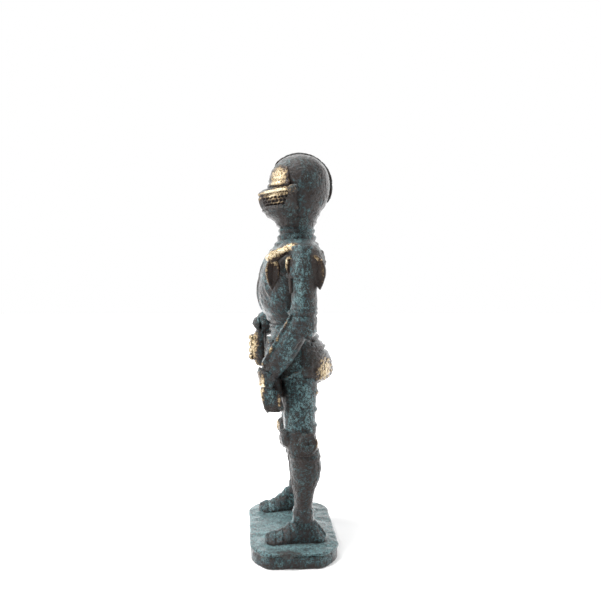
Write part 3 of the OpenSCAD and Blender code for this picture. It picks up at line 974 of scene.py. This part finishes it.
# the left forearm hangs, the right one is raised in front
foreSetup = {
    "left": {
        "sections": [
            (armX, 2.0, 63.4, 3.3, 3.7, -26), (armX, -1.0, 58.4, 3.4, 3.8, -30),
            (armX * 0.97, -3.7, 53.6, 3.3, 3.6, -32), (armX * 0.93, -6.3, 49.8, 3.3, 3.1, -32),
            (armX * 0.92, -7.6, 47.4, 2.6, 2.2, -24),
        ],
        "crest": [
            (armX + 1.6, -0.3, 66.9), (armX + 2.0, -2.4, 62.6), (armX + 1.8, -4.6, 58.9),
            (armX + 1.4, -6.6, 55.6), (armX + 0.8, -9.1, 51.0),
        ],
        "groove": [(armX + 2.4, 1.6, 57.2), (armX + 2.4, -1.4, 52.4), (armX + 2.0, -4.2, 47.6), (armX + 1.4, -5.6, 44.9)],
        "shade": [((armX + 0.6, -8.0, groundZ + 50.5), (2.4, 1.6, 2.2), "dark", 0.5)],
    },
    "right": {
        "sections": [
            (armX, 1.6, 61.6, 3.2, 3.4, -74), (armX * 0.99, -2.0, 61.3, 3.1, 3.2, -80),
            (armX * 0.95, -5.2, 61.2, 3.0, 3.0, -84), (armX * 0.9, -8.0, 61.1, 3.4, 3.4, -84),
            (armX * 0.88, -9.4, 61.0, 3.1, 3.0, -84),
        ],
        "crest": [(armX + 1.4, 0.5, 65.0), (armX + 1.2, -4.4, 64.2), (armX + 0.6, -9.0, 64.6)],
        "groove": [(armX + 2.2, 1.6, 58.0), (armX + 2.0, -4.0, 58.4), (armX + 1.0, -8.6, 57.8)],
        "shade": [((armX, -9, groundZ + 61), (4, 3, 4), "dark", 0.8)],
    },
}


def liftPath(path):
    return [(x, y, z + groundZ) for x, y, z in path]


def makeForearm(side, setup):
    fore = newShape()
    arm = setup["left" if side > 0 else "right"]
    crest = arm["crest"]
    addLoft(fore, lift(arm["sections"]), 44, 34)
    addBar(fore, liftPath(crest), [0.55] * len(crest), 10, 30)
    x, y, z = crest[-1]
    addBall(fore, (x - 1.8, y + 1.6, z + groundZ + 0.4), (2.8, 1.9, 2.0))
    if side < 0:
        addBall(fore, (armX - 1.5, -8.2, groundZ + 62.6), (3.0, 2.9, 3.2))

    def groove(points, normals):
        return -0.4 * bell(nearPath(points, liftPath(arm["groove"])), 0.45)

    castSide(
        side, "vambrace", fore, "patinated_brass", {"voxel": 0.2, "greenAndTopLight": 0.14}, relief=groove,
        spots=[((x + 0.5, y - 0.3, z + groundZ), (0.9, 0.7, 1.9), 0.5) for x, y, z in crest[1:]],
        shade=arm["shade"],
    )


handSetup = {
    "left": {
        "palm": [
            (armX * 0.94, -8.1, 47.4, 2.9, 2.3, -14), (armX * 0.93, -7.9, 44.9, 2.6, 2.1, -8),
            (armX * 0.9, -6.9, 41.4, 2.7, 2.6), (armX * 0.87, -6.0, 38.8, 2.5, 2.7), (armX * 0.84, -5.6, 37.2, 1.7, 1.8),
        ],
        "cuff": [
            (armX * 0.94, -7.6, 49.0, 3.2, 2.9, -28), (armX * 0.935, -8.0, 47.6, 3.3, 2.9, -24),
            (armX * 0.93, -8.1, 46.4, 2.8, 2.4, -18),
        ],
        "fingerRadii": [0.8, 0.95, 0.9, 0.7],
        "spots": [
            ((armX, -10.0, groundZ + 43.5), (4, 1.5, 6), 0.8),
            ((armX + 2.4, -9.2, groundZ + 45), (1.4, 0.8, 3.4), 0.8),
            ((armX + 2.2, -4.4, groundZ + 41), (2.0, 0.8, 3.0), 0.7),
        ],
        "shade": [
            ((armX, -6.2, groundZ + 37.6), (4, 4, 2.2), "dark", 0.9),
            ((armX + 2.5, -6.8, groundZ + 43), (1.6, 2.4, 3.4), "greenAndTopLight", 0.4),
        ],
    },
    "right": {
        "palm": [
            (armX * 0.88, -9.0, 60.2, 2.6, 1.8), (armX * 0.86, -9.8, 57.8, 3.0, 2.4),
            (armX * 0.83, -10.0, 54.4, 3.0, 2.8), (armX * 0.8, -9.6, 50.8, 2.7, 2.6), (armX * 0.78, -9.2, 48.0, 1.8, 1.8),
        ],
        "cuff": [
            (armX * 0.88, -9.9, 61.0, 3.4, 3.4, -84), (armX * 0.88, -10.7, 60.6, 3.2, 3.1, -70),
            (armX * 0.87, -10.9, 59.8, 2.8, 2.4, -50),
        ],
        "fingerRadii": [1.05, 1.1, 1.05, 0.8],
        "spots": [
            ((armX * 0.85, -12.2, groundZ + 54.5), (5, 2.4, 6), 0.95),
            ((armX * 0.8, -9.0, groundZ + 48.4), (4, 3, 2), 0.4),
        ],
        "shade": [((armX * 0.9, -10.5, groundZ + 60.5), (4, 3, 2.2), "dark", 0.8)],
    },
}


# the left fingers point down side by side, the right ones curl round in front
def fingerPath(side, k):
    if side > 0:
        y = -9.1 + 1.3 * k
        return [
            (armX * 0.97, y, 43.4), (armX * 1.02, y + 0.6, 41.2), (armX * 0.98, y + 1.2, 39.0),
            (armX * 0.86, y + 1.6, 37.4 + 0.2 * k),
        ]
    z = 57.2 - 2.1 * k
    return [
        (armX * 0.98, -9.0, z + 0.5), (armX * 0.95, -11.4, z + 0.2), (armX * 0.85, -12.7, z),
        (armX * 0.72, -12.2, z - 0.2),
    ]


def makeGauntlet(side, setup):
    hand = newShape()
    glove = setup["left" if side > 0 else "right"]
    addLoft(hand, lift(glove["palm"]), 40, 30)
    for k in range(4):
        addBar(hand, liftPath(fingerPath(side, k)), glove["fingerRadii"], 12, 18)
    addLoft(hand, lift(glove["cuff"]), 40, 12)

    def joints(points, normals):
        z = points[:, 2] - groundZ
        if side > 0:
            return -0.3 * bell(z - 44.4, 0.35) + 0.25 * bell(z - 45.2, 0.4)
        return -0.3 * bell(points[:, 1] + 8.0, 0.4)

    castSide(
        side, "gauntlet", hand, "rubbed_brass", {"voxel": 0.18, "bumps": 0.08, "greenAndTopLight": 0.05},
        relief=joints, spots=glove["spots"], shade=glove["shade"],
    )


for side in (1, -1):
    makeArm(side, armSetup)
    makeForearm(side, foreSetup)
    makeGauntlet(side, handSetup)
print("arms done")

shoulderSetup = {
    "cap": [
        (armX * 0.98, 2.4, 75.6, 4.2, 4.7), (armX * 0.97, 3.1, 79, 4.7, 5.2), (armX * 0.9, 3.3, 82.4, 4.9, 5.1),
        (armX * 0.78, 2.8, 85.2, 4.3, 4.5), (armX * 0.60, 2.2, 87.0, 2.5, 3.2),
    ],
    "frontBand": [(12.6, 0.9, 85.5), (13.8, -0.6, 84.6), (13.8, -3.2, 83.4), (12.9, -5.8, 82.2), (10.9, -7.7, 81.3)],
    "backBand": [(10.6, 2.6, 86.2), (12.8, 5.0, 84.9), (13.8, 7.4, 82.2), (13.9, 8.2, 79.0)],
}


def makeShoulder(side, setup):
    cap = newShape()
    addLoft(cap, lift(setup["cap"]), 52, 36)
    addBall(cap, (armX * 0.66, 2.0, groundZ + 83.8), (4.4, 4.4, 3.3))
    front, back = liftPath(setup["frontBand"]), liftPath(setup["backBand"])
    addBar(cap, front, [0.9, 1.4, 1.5, 1.45, 0.9], 14, 34)
    addBar(cap, back, [0.9, 1.3, 1.4, 0.9], 14, 30)

    # the front band is dented by small folds
    def plates(points, normals):
        z = points[:, 2] - groundZ
        x, y = points[:, 0], points[:, 1]
        folds = 0.45 * softNoise(points * np.array([1, 1, 0.7]), 1.5, 81) * np.clip(-0.6 - y, 0, 1)
        outer = np.clip((x - armX - 1.0) / 1.6, 0, 1)
        band = outer * bell(np.clip(np.abs(y - 1.2) - 0.9, 0, 9), 0.35)
        valley = -0.75 * outer * bell(y - 4.2, 1.0) * bell(z - 79, 4)
        rim = 0.35 * bell(z - 76.6, 0.45) - 0.25 * bell(z - 77.7, 0.35)
        rim += 0.25 * bell(z - 80.6, 0.4) + 0.22 * bell(z - 83.4, 0.4)
        return 0.25 * band + valley + rim * (1 - 0.8 * outer) + folds

    castSide(
        side, "pauldron", cap, "rubbed_brass",
        {"voxel": 0.2, "bumps": 0.09, "greenAndTopLight": 0.08}, relief=plates,
        spots=[((p[0] + 0.8, p[1] - 0.2, p[2] + 0.3), (2.2, 1.9, 1.4), 0.85) for p in front[1:]]
        + [((p[0], p[1] + 0.5, p[2]), (2.0, 1.4, 1.6), 0.28) for p in back[1:]],
        shade=[((armX + 4, 1.2, groundZ + 80), (2.5, 1.4, 7), "greenAndTopLight", 0.45),
               ((armX + 2, 5.6, groundZ + 80), (6, 2.8, 7), "dark", 0.95),
               ((armX, -4.6, groundZ + 80), (6, 3.4, 5), "dark", 0.8)],
    )


# leaf plates that hang under the shoulder guard, flat faces outwards
leafSetup = {
    "frontLeaf": {"top": (12.6, -6.0, 81.6), "tip": (12.9, -6.4, 72.3), "half": 2.25, "thick": 1.0},
    "innerLeaf": {"top": (16.2, -1.5, 82.0), "tip": (16.6, -1.2, 75.8), "half": 1.35, "thick": 0.9},
    "rearLeaf": {"top": (17.2, 5.5, 82.2), "tip": (16.6, 7.2, 72.4), "half": 2.7, "thick": 1.4},
    "shares": (0.0, 0.15, 0.4, 0.65, 0.85, 1.0),
    "widths": (0.35, 0.8, 1.0, 0.80, 0.42, 0.06),
}


def leafWidth(leaf, t, setup):
    return leaf["half"] * np.interp(t, setup["shares"], setup["widths"])


def addLeaf(shape, leaf, setup):
    top, tip = np.array(leaf["top"]), np.array(leaf["tip"])
    rows = []
    for t in setup["shares"][::-1]:
        p = top + (tip - top) * t
        half = leafWidth(leaf, t, setup)
        rows.append((p[0], p[1], p[2] + groundZ, leaf["thick"] * (0.35 + 0.65 * half / leaf["half"]), half))
    addLoft(shape, rows, 30, 30)


# raised rim and sunk middle on the outer face
def leafRelief(points, leaf, setup):
    top = np.array(leaf["top"]) + np.array([0, 0, groundZ])
    axis = np.array(leaf["tip"]) + np.array([0, 0, groundZ]) - top
    t = ((points - top) @ axis) / (axis @ axis)
    width = np.maximum(leafWidth(leaf, np.clip(t, 0, 1), setup), 0.2)
    away = np.abs(points[:, 1] - (top[1] + axis[1] * t)) / width
    within = np.clip((t - 0.08) * 9, 0, 1) * np.clip((0.9 - t) * 9, 0, 1)
    near = np.clip(1 - np.abs(points[:, 0] - top[0]) / 2.5, 0, 1) ** 0.5
    sunk = -0.8 * np.clip(1 - away / 0.62, 0, 1) ** 0.5
    return near * within * (sunk + 0.25 * bell(away - 0.85, 0.16) - 0.2 * bell(away, 0.12))


def makeLeaves(side, setup):
    for rear in (False, True):
        shape = newShape()
        leaves = [setup["rearLeaf"]] if rear else [setup["frontLeaf"], setup["innerLeaf"]]
        for leaf in leaves:
            addLeaf(shape, leaf, setup)
        if not rear:
            x, y, z = setup["innerLeaf"]["tip"]
            addBar(shape, [(x - 0.4, y, z + groundZ + 1.4), (x - 0.6, y + 0.3, z + groundZ - 4.4)], [0.75, 0.6], 12, 12)

        def carve(points, normals, leaves=leaves):
            outward = np.clip(normals[:, 0], 0, 1)
            return sum(leafRelief(points, leaf, setup) for leaf in leaves) * outward

        spots = []
        for leaf in leaves:
            x, y, z = leaf["top"]
            spots.append(((x + 0.8, y + 0.2, z + groundZ - 1.4), (1.6, 1.5, 1.5), 0.7))
            for edge in (-1, 1):
                spots.append(((x + 0.8, y + edge * (leaf["half"] * 0.8), z + groundZ - 4), (1.3, 0.6, 4), 0.45))
        castSide(
            side, "rear_besagew" if rear else "front_besagew", shape, "dark_brass",
            {"voxel": 0.15, "bumps": 0.06, "grain": 0.04, "pits": 0.06, "dark": 0.85, "edgeRub": 1.5, "soften": 2},
            relief=carve, spots=spots,
        )


for side in (1, -1):
    makeShoulder(side, shoulderSetup)
    makeLeaves(side, leafSetup)
print("shoulders done")

helmetSetup = {
    "skull": [
        (-1.0, -0.6, 5.0, 5.2), (-0.6, 2.2, 5.5, 5.7), (-0.3, 4.6, 6.3, 6.5), (-0.1, 7.0, 7.5, 8.0),
        (0, 10.0, 8.2, 9.1), (0, 13.8, 8.4, 9.35),
        (0, 17.4, 7.8, 8.6), (0, 20.2, 6.0, 6.8), (0, 22.0, 3.5, 4.0), (0, 22.85, 0.6, 0.6),
    ],
    "beak": [
        (4.6, 11.2, 8.4, 8.1), (5.6, 11.75, 8.8, 8.3), (6.6, 12.3, 9.0, 8.4), (8.2, 12.9, 9.1, 8.5),
        (9.6, 13.0, 9.1, 8.6),
        (10.6, 12.8, 9.0, 8.6), (11.3, 12.2, 8.9, 8.5), (11.9, 11.2, 8.7, 8.3), (12.2, 9.8, 8.5, 7.9),
    ],
    "chin": [
        (-1.4, 0.2, 5.2, 5.5), (-1.7, 2.0, 5.9, 6.2), (-2.1, 3.6, 6.9, 8.4), (-2.1, 5.0, 7.8, 9.4), (-2.1, 6.2, 8.0, 9.6),
    ],
    "holeRadius": 0.40,
    "holeRows": 3,
    "holesPerRow": 7,
}


def headRows(keys):
    return [(0, k[0] + skullY, k[1] + neckZ, *k[2:]) for k in keys]


def makeSkull(setup):
    skull = newShape()
    addLoft(skull, headRows(setup["skull"]), 72, 56)

    def shape(points, normals):
        z = points[:, 2] - neckZ
        y = points[:, 1] - skullY
        nape = 0.35 * bell(z - 2.2 + 0.10 * y, 0.5) + 0.3 * bell(z - 4.4 + 0.06 * y, 0.5) * np.clip(y / 4, 0, 1)
        sight = -0.9 * bell(z - 12.0 - 0.1 * np.clip(y + 6, 0, 4), 0.6) * np.clip((-y - 2.5) / 2, 0, 1)
        return nape + sight

    castPiece(
        "helmet_skull", skull, "patinated_brass",
        {"bumps": 0.10, "greenAndTopLight": -0.08, "grain": 0.08, "pits": 0.16, "dark": 0.22}, relief=shape,
        shade=[((s * 8.4, skullY + 1, neckZ + 11), (3, 2.2, 2.4), "greenAndTopLight", 0.3) for s in (1, -1)]
        + [((s * 8, skullY - 4, neckZ + 7), (3, 3, 3.5), "greenAndTopLight", 0.4) for s in (1, -1)]
        + [((0, skullY - 1, neckZ + 1.5), (9, 6, 3), "greenAndTopLight", 0.3)]
        + [((0, skullY + 3, neckZ + 20), (10, 9, 5), "dark", 0.35), ((0, -8, neckZ + 12), (7, 3, 1.0), "dark", 0.9)],
        spots=[((s * 7.2, skullY - 5.4, neckZ + 12.4), (3, 2.2, 2.6), 0.85) for s in (1, -1)],
    )


combSetup = {"dropBelowCrown": 10.15, "radius": 9.75, "startDegrees": -52, "sweepDegrees": 176, "thick": 0.5, "end": 0.25}


def makeComb(setup):
    ridge = newShape()
    centreZ = crownZ - setup["dropBelowCrown"]
    radius = setup["radius"]
    path = []
    for k in range(22):
        a = math.radians(setup["startDegrees"] + setup["sweepDegrees"] * k / 21)
        path.append((0, skullY + radius * math.sin(a), centreZ + radius * math.cos(a)))
    addBar(ridge, path, [setup["end"]] + [setup["thick"]] * 20 + [setup["end"]], 14, 90)
    root = [(x, skullY + (y - skullY) * 0.93, centreZ + (z - centreZ) * 0.93) for x, y, z in path]
    addBar(ridge, root, [0.6] * 22, 12, 90)
    castPiece(
        "helmet_comb", ridge, "dark_brass",
        {"voxel": 0.16, "dark": 0.55, "bumps": 0.06, "soften": 1, "edgeRub": 0.6},
    )


browSections = [
    (0, 11.6, 8.7, 9.55), (0, 12.4, 9.1, 9.95), (0, 15.4, 8.8, 9.55),
    (0, 18.0, 7.9, 8.6), (0.1, 19.8, 6.4, 7.1), (0.2, 20.6, 4.6, 5.2),
]


def makeBrow(sections):
    brow = newShape()
    addLoft(brow, headRows(sections), 72, 34)
    rear = skullY - 4.0
    brow["points"] = [(x, min(y, rear - 0.06 * (z - neckZ - 16)), z) for x, y, z in brow["points"]]

    def rim(points, normals):
        z = points[:, 2] - neckZ
        return 0.30 * bell(z - 12.7, 0.45) - 0.2 * bell(z - 13.8, 0.4)

    castPiece(
        "brow_plate", brow, "rubbed_brass", {"voxel": 0.18, "bumps": 0.07, "dark": 0.35}, relief=rim,
        spots=[((s * 6.0, skullY - 7.0, neckZ + 14.6), (5.0, 3.3, 3.9), 0.92) for s in (1, -1)],
    )


def beakRing(y0, z, reach, halfX, halfY, around=64):
    points = []
    for k in range(around):
        a = 2 * math.pi * k / around
        x, y = halfX * math.cos(a), halfY * math.sin(a)
        if y < 0:
            # the front draws out to a blunt keel
            t = min(1.0, abs(x) / halfX)
            y = -(halfY + (reach - halfY) * (1 - t) ** 1.25) * (1 - t**2.4) ** 0.5
        points.append((x, y0 + y, z))
    return points


def makeVisor(setup):
    visor = newShape()
    rows = spline(setup["beak"], 40)
    points = []
    for z, reach, halfX, halfY in rows:
        points += beakRing(skullY, neckZ + z, reach, halfX, halfY)
    points += [(0, skullY, neckZ + rows[0][0]), (0, skullY, neckZ + rows[-1][0])]
    rear = skullY - 1.4
    points = [(x, min(y, rear), z) for x, y, z in points]
    addPart(visor, points, ringFaces(40, 64))
    for side in (1, -1):
        ridge = [
            (side * 8.9, skullY - 1.6, neckZ + 10.4), (side * 7.6, skullY - 6.0, neckZ + 10.5),
            (side * 4.2, skullY - 9.9, neckZ + 10.3), (side * 0.4, skullY - 12.6, neckZ + 10.0),
        ]
        addBar(visor, ridge, [0.4, 0.55, 0.6, 0.5], 10, 30)
        addBall(visor, (side * 8.9, skullY - 2.6, neckZ + 10.4), (0.8, 1.5, 1.5))

    def shape(points, normals):
        z = points[:, 2] - neckZ
        x = np.abs(points[:, 0])
        y = points[:, 1] - skullY
        holes = np.zeros(len(points))
        for row in range(setup["holeRows"]):
            for k in range(setup["holesPerRow"] - row):
                across = y + 4.6 + 1.12 * k + 0.5 * row
                up = z - 8.75 + 1.15 * row + 0.03 * k
                holes = np.maximum(holes, bell(np.hypot(across, up), setup["holeRadius"]) * (x > 1.0))
        notch = -0.35 * bell(z - 9.5, 0.3) * np.clip((-y - 3) / 2, 0, 1)
        sharp = 0.22 * bell(z - 10.4, 0.35) * np.clip((-y - 2) / 2, 0, 1)
        return notch + sharp - 0.85 * holes

    castPiece(
        "visor", visor, "rubbed_brass",
        {"voxel": 0.16, "bumps": 0.06, "pits": 0.06, "dark": 0.55, "soften": 2}, relief=shape,
        spots=[((s * 4.6, skullY - 8.6, neckZ + 9.9), (4.6, 4.8, 1.2), 0.95) for s in (1, -1)]
        + [((s * 7.9, skullY - 4.6, neckZ + 10.2), (2.2, 3.4, 1.0), 0.55) for s in (1, -1)]
        + [((s * 5.4, skullY - 7.6, neckZ + 7.6), (3.6, 3.4, 1.9), 0.42) for s in (1, -1)]
        + [((s * 6.6, skullY - 5.8, neckZ + 11.6), (3.0, 2.6, 0.9), 0.75) for s in (1, -1)]
        + [((0, skullY - 12.6, neckZ + 8.8), (1.6, 1.4, 2.4), 0.5)],
    )


def makeBevor(setup):
    chin = newShape()
    addLoft(chin, headRows(setup["chin"]), 60, 32)
    rear = skullY - 1.2
    chin["points"] = [(x, min(y, rear), z) for x, y, z in chin["points"]]

    def shape(points, normals):
        z = points[:, 2] - neckZ
        return 0.30 * bell(z - 5.2, 0.4) - 0.2 * bell(z - 4.2, 0.4) + 0.2 * bell(z - 0.8, 0.4)

    castPiece(
        "bevor", chin, "dark_brass", {"voxel": 0.2, "dark": 0.35, "greenAndTopLight": -0.12, "bumps": 0.09}, relief=shape,
        shade=[((7, skullY - 2.4, neckZ + 3), (3, 2.4, 4), "greenAndTopLight", 0.3)],
    )


def makePivots():
    for side in (1, -1):
        low, high = boxOf(sideName(side, "visor_pivot"))
        centre = (low + high) / 2
        rivet = newShape()
        face = high[0] if side > 0 else -low[0]
        addBall(rivet, (face - 0.75, centre[1], centre[2]), (0.8, 1.2, 1.2))
        addBall(rivet, (face - 0.15, centre[1], centre[2]), (0.3, 0.5, 0.5), around=20, rings=12)
        castSide(
            side, "visor_pivot", rivet, "rubbed_brass",
            {"voxel": 0.12, "bumps": 0.04, "grain": 0.02, "pits": 0.03, "rub": 0.35, "soften": 1},
        )


makeSkull(helmetSetup)
makeComb(combSetup)
makeBrow(browSections)
makeVisor(helmetSetup)
makeBevor(helmetSetup)
makePivots()
print("helmet done")

floorSetup = {
    "size": 3.0, "color": (0.72, 0.72, 0.72, 1), "roughness": 0.8, "nearGlow": 0.22, "farGlow": 0.75,
    "glowStart": 0.02, "glowEnd": 0.22,
}


def makeFloor(setup):
    mesh = bpy.data.meshes.new("floor")
    s = setup["size"]
    mesh.from_pydata([(-s, -s, 0), (s, -s, 0), (s, s, 0), (-s, s, 0)], [], [(0, 1, 2, 3)])
    floor = bpy.data.objects.new("floor", mesh)
    bpy.context.scene.collection.objects.link(floor)
    paint = bpy.data.materials.new("paleGlowFloor")
    paint.use_nodes = True
    shader = paint.node_tree.nodes["Principled BSDF"]
    shader.inputs["Base Color"].default_value = setup["color"]
    shader.inputs["Roughness"].default_value = setup["roughness"]
    shader.inputs["Specular IOR Level"].default_value = 0.1
    shader.inputs["Emission Color"].default_value = (1, 1, 1, 1)
    # painted light: the floor glows, more away from the plinth, so the weaker glow round the plinth is a painted shade
    # there
    nodes, links = paint.node_tree.nodes, paint.node_tree.links
    place = nodes.new("ShaderNodeTexCoord")
    length = nodes.new("ShaderNodeVectorMath")
    length.operation = "LENGTH"
    links.new(place.outputs["Object"], length.inputs[0])
    fade = nodes.new("ShaderNodeMapRange")
    fade.interpolation_type = "SMOOTHSTEP"
    fade.inputs["From Min"].default_value = setup["glowStart"]
    fade.inputs["From Max"].default_value = setup["glowEnd"]
    fade.inputs["To Min"].default_value = setup["nearGlow"]
    fade.inputs["To Max"].default_value = setup["farGlow"]
    links.new(length.outputs["Value"], fade.inputs["Value"])
    links.new(fade.outputs["Result"], shader.inputs["Emission Strength"])
    mesh.materials.append(paint)


lightSetup = {
    "top": {"at": (0.06, -0.16, 0.55), "size": 0.22, "power": 4.6},
    "left": {"at": (-0.05, -0.55, 0.22), "size": 0.25, "power": 2.0},
    "right": {"at": (-0.15, 0.50, 0.20), "size": 0.35, "power": 1.5},
    "fill": {"at": (0.60, -0.25, 0.25), "size": 0.40, "power": 0.5},
}


def makeLights(setup):
    aim = Vector((0, 0, 0.06))
    for name, one in setup.items():
        data = bpy.data.lights.new(name, "AREA")
        data.shape = "SQUARE"
        data.size = one["size"]
        data.energy = one["power"]
        lamp = bpy.data.objects.new(name, data)
        lamp.location = one["at"]
        lamp.rotation_mode = "QUATERNION"
        lamp.rotation_quaternion = (aim - Vector(one["at"])).to_track_quat("-Z", "Y")
        lamp.visible_camera = False
        bpy.context.scene.collection.objects.link(lamp)


worldSetup = {"dark": 0.07, "darkX": 0.75, "bright": 1.7, "brightX": -0.35, "seen": 1.0}


def makeWorld(setup):
    world = bpy.data.worlds.new("studio")
    world.use_nodes = True
    nodes, links = world.node_tree.nodes, world.node_tree.links
    nodes.clear()
    output = nodes.new("ShaderNodeOutputWorld")
    light = nodes.new("ShaderNodeBackground")
    seen = nodes.new("ShaderNodeBackground")
    seen.inputs["Strength"].default_value = setup["seen"]
    seen.inputs["Color"].default_value = (1, 1, 1, 1)
    place = nodes.new("ShaderNodeTexCoord")
    split = nodes.new("ShaderNodeSeparateXYZ")
    links.new(place.outputs["Generated"], split.inputs[0])
    shade = nodes.new("ShaderNodeMapRange")
    shade.inputs["From Min"].default_value = setup["darkX"]
    shade.inputs["From Max"].default_value = setup["brightX"]
    shade.inputs["To Min"].default_value = setup["dark"]
    shade.inputs["To Max"].default_value = setup["bright"]
    links.new(split.outputs["X"], shade.inputs["Value"])
    links.new(shade.outputs["Result"], light.inputs["Strength"])
    path = nodes.new("ShaderNodeLightPath")
    mix = nodes.new("ShaderNodeMixShader")
    links.new(path.outputs["Is Camera Ray"], mix.inputs["Fac"])
    links.new(light.outputs[0], mix.inputs[1])
    links.new(seen.outputs[0], mix.inputs[2])
    links.new(mix.outputs[0], output.inputs["Surface"])
    bpy.context.scene.world = world


makeFloor(floorSetup)
makeLights(lightSetup)
makeWorld(worldSetup)
bpy.context.scene.view_settings.view_transform = "Standard"
print("studio done")

studSetup = {
    "sink": 0.12,
    "beltCount": 22,
    "beltRadius": 0.42,
    "collarCount": 16,
    "collarRadius": 0.36,
    "collarLevel": 85.4,
}


# a stud on every point of a helper mesh, joined to the piece
def studTree(material):
    tree = bpy.data.node_groups.new("studRows", "GeometryNodeTree")
    face = tree.interface
    face.new_socket("Geometry", in_out="INPUT", socket_type="NodeSocketGeometry")
    face.new_socket("Places", in_out="INPUT", socket_type="NodeSocketObject")
    radius = face.new_socket("Stud radius", in_out="INPUT", socket_type="NodeSocketFloat")
    radius.default_value = 0.0004
    face.new_socket("Geometry", in_out="OUTPUT", socket_type="NodeSocketGeometry")
    add = tree.nodes.new
    link = tree.links.new
    entry, leave = add("NodeGroupInput"), add("NodeGroupOutput")
    places = add("GeometryNodeObjectInfo")
    link(entry.outputs["Places"], places.inputs["Object"])
    stud = add("GeometryNodeMeshIcoSphere")
    stud.inputs["Subdivisions"].default_value = 3
    link(entry.outputs["Stud radius"], stud.inputs["Radius"])
    rows = add("GeometryNodeInstanceOnPoints")
    link(places.outputs["Geometry"], rows.inputs["Points"])
    link(stud.outputs["Mesh"], rows.inputs["Instance"])
    real = add("GeometryNodeRealizeInstances")
    link(rows.outputs["Instances"], real.inputs["Geometry"])
    smooth = add("GeometryNodeSetShadeSmooth")
    link(real.outputs["Geometry"], smooth.inputs["Geometry"])
    both = add("GeometryNodeJoinGeometry")
    link(smooth.outputs["Geometry"], both.inputs["Geometry"])
    link(entry.outputs["Geometry"], both.inputs["Geometry"])
    paint = add("GeometryNodeSetMaterial")
    paint.inputs["Material"].default_value = material
    link(both.outputs["Geometry"], paint.inputs["Geometry"])
    link(paint.outputs["Geometry"], leave.inputs["Geometry"])
    return tree


def setInput(modifier, title, value):
    for item in modifier.node_group.interface.items_tree:
        if item.item_type == "SOCKET" and item.in_out == "INPUT" and item.name == title:
            modifier[item.identifier] = value


def addStuds(pieceName, count, level, radius, sink):
    piece = bpy.data.objects[pieceName + "_cast"]
    surface = BVHTree.FromObject(piece, bpy.context.evaluated_depsgraph_get())
    points = []
    for k in range(count):
        a = 2 * math.pi * (k + 0.5) / count
        away = Vector((math.cos(a), math.sin(a), 0))
        start = Vector((0, middle(pieceName)[1] * mm, level * mm)) + away * 0.05
        hit, normal, _, _ = surface.ray_cast(start, -away)
        if hit:
            points.append(hit - normal * sink * mm)
    places = bpy.data.meshes.new("studPlaces")
    places.from_pydata(points, [], [])
    holder = bpy.data.objects.new("studPlaces", places)
    bpy.context.scene.collection.objects.link(holder)
    rows = piece.modifiers.new("studs", "NODES")
    rows.node_group = studNodes
    setInput(rows, "Places", holder)
    setInput(rows, "Stud radius", radius * mm)
    graph = bpy.context.evaluated_depsgraph_get()
    piece.data = bpy.data.meshes.new_from_object(piece.evaluated_get(graph))
    piece.modifiers.clear()
    bpy.data.objects.remove(holder)


studNodes = studTree(castMaterial)
beltLevel = float(middle("belt")[2])
collarLevel = groundZ + studSetup["collarLevel"]
addStuds("belt", studSetup["beltCount"], beltLevel, studSetup["beltRadius"], studSetup["sink"])
addStuds("gorget", studSetup["collarCount"], collarLevel, studSetup["collarRadius"], studSetup["sink"])
print("studs done")

# painted shade: how deep in a hollow each point lies, from a coarse count of the space in front of it, so crowded
# places between parts darken as if shaded
creviceShadeSetup = {"cell": 0.9, "reach": 1.5}


def markCreviceShade(setup):
    clouds = []
    for piece, _, _ in finishedPieces:
        points, _, _ = readMesh(piece.data)
        clouds.append((piece, points, normalsOf(piece.data)))
    every = np.concatenate([c[1] for c in clouds])
    low = every.min(axis=0) - 6
    size = tuple(np.ceil((every.max(axis=0) - low + 6) / setup["cell"]).astype(int))
    grid = np.zeros(size)
    spot = ((every - low) / setup["cell"]).astype(int)
    np.add.at(grid, tuple(spot.T), 1.0)
    grid = np.minimum(grid, 12) / 12
    for axis in range(3):
        grid = (np.roll(grid, 1, axis) + 2 * grid + np.roll(grid, -1, axis)) / 4
    for piece, points, normals in clouds:
        total = np.zeros(len(points))
        for reach in (setup["reach"], setup["reach"] * 2.0):
            q = (points + normals * reach - low) / setup["cell"] - 0.5
            i = np.floor(q).astype(int)
            f = q - i
            for dx in (0, 1):
                for dy in (0, 1):
                    for dz in (0, 1):
                        weight = np.abs(1 - dx - f[:, 0]) * np.abs(1 - dy - f[:, 1]) * np.abs(1 - dz - f[:, 2])
                        total += weight * grid[i[:, 0] + dx, i[:, 1] + dy, i[:, 2] + dz]
        layer = piece.data.attributes.new("creviceShade", "FLOAT", "POINT")
        layer.data.foreach_set("value", np.clip(total, 0, 2).astype(np.float32))


markCreviceShade(creviceShadeSetup)
print("crevices marked")

for piece, node, slotName in finishedPieces:
    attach(piece, "root")
    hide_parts(node)
triangles = sum(len(piece.data.polygons) * 2 for piece, _, _ in finishedPieces)
print("pieces", len(finishedPieces), "triangles about", triangles)
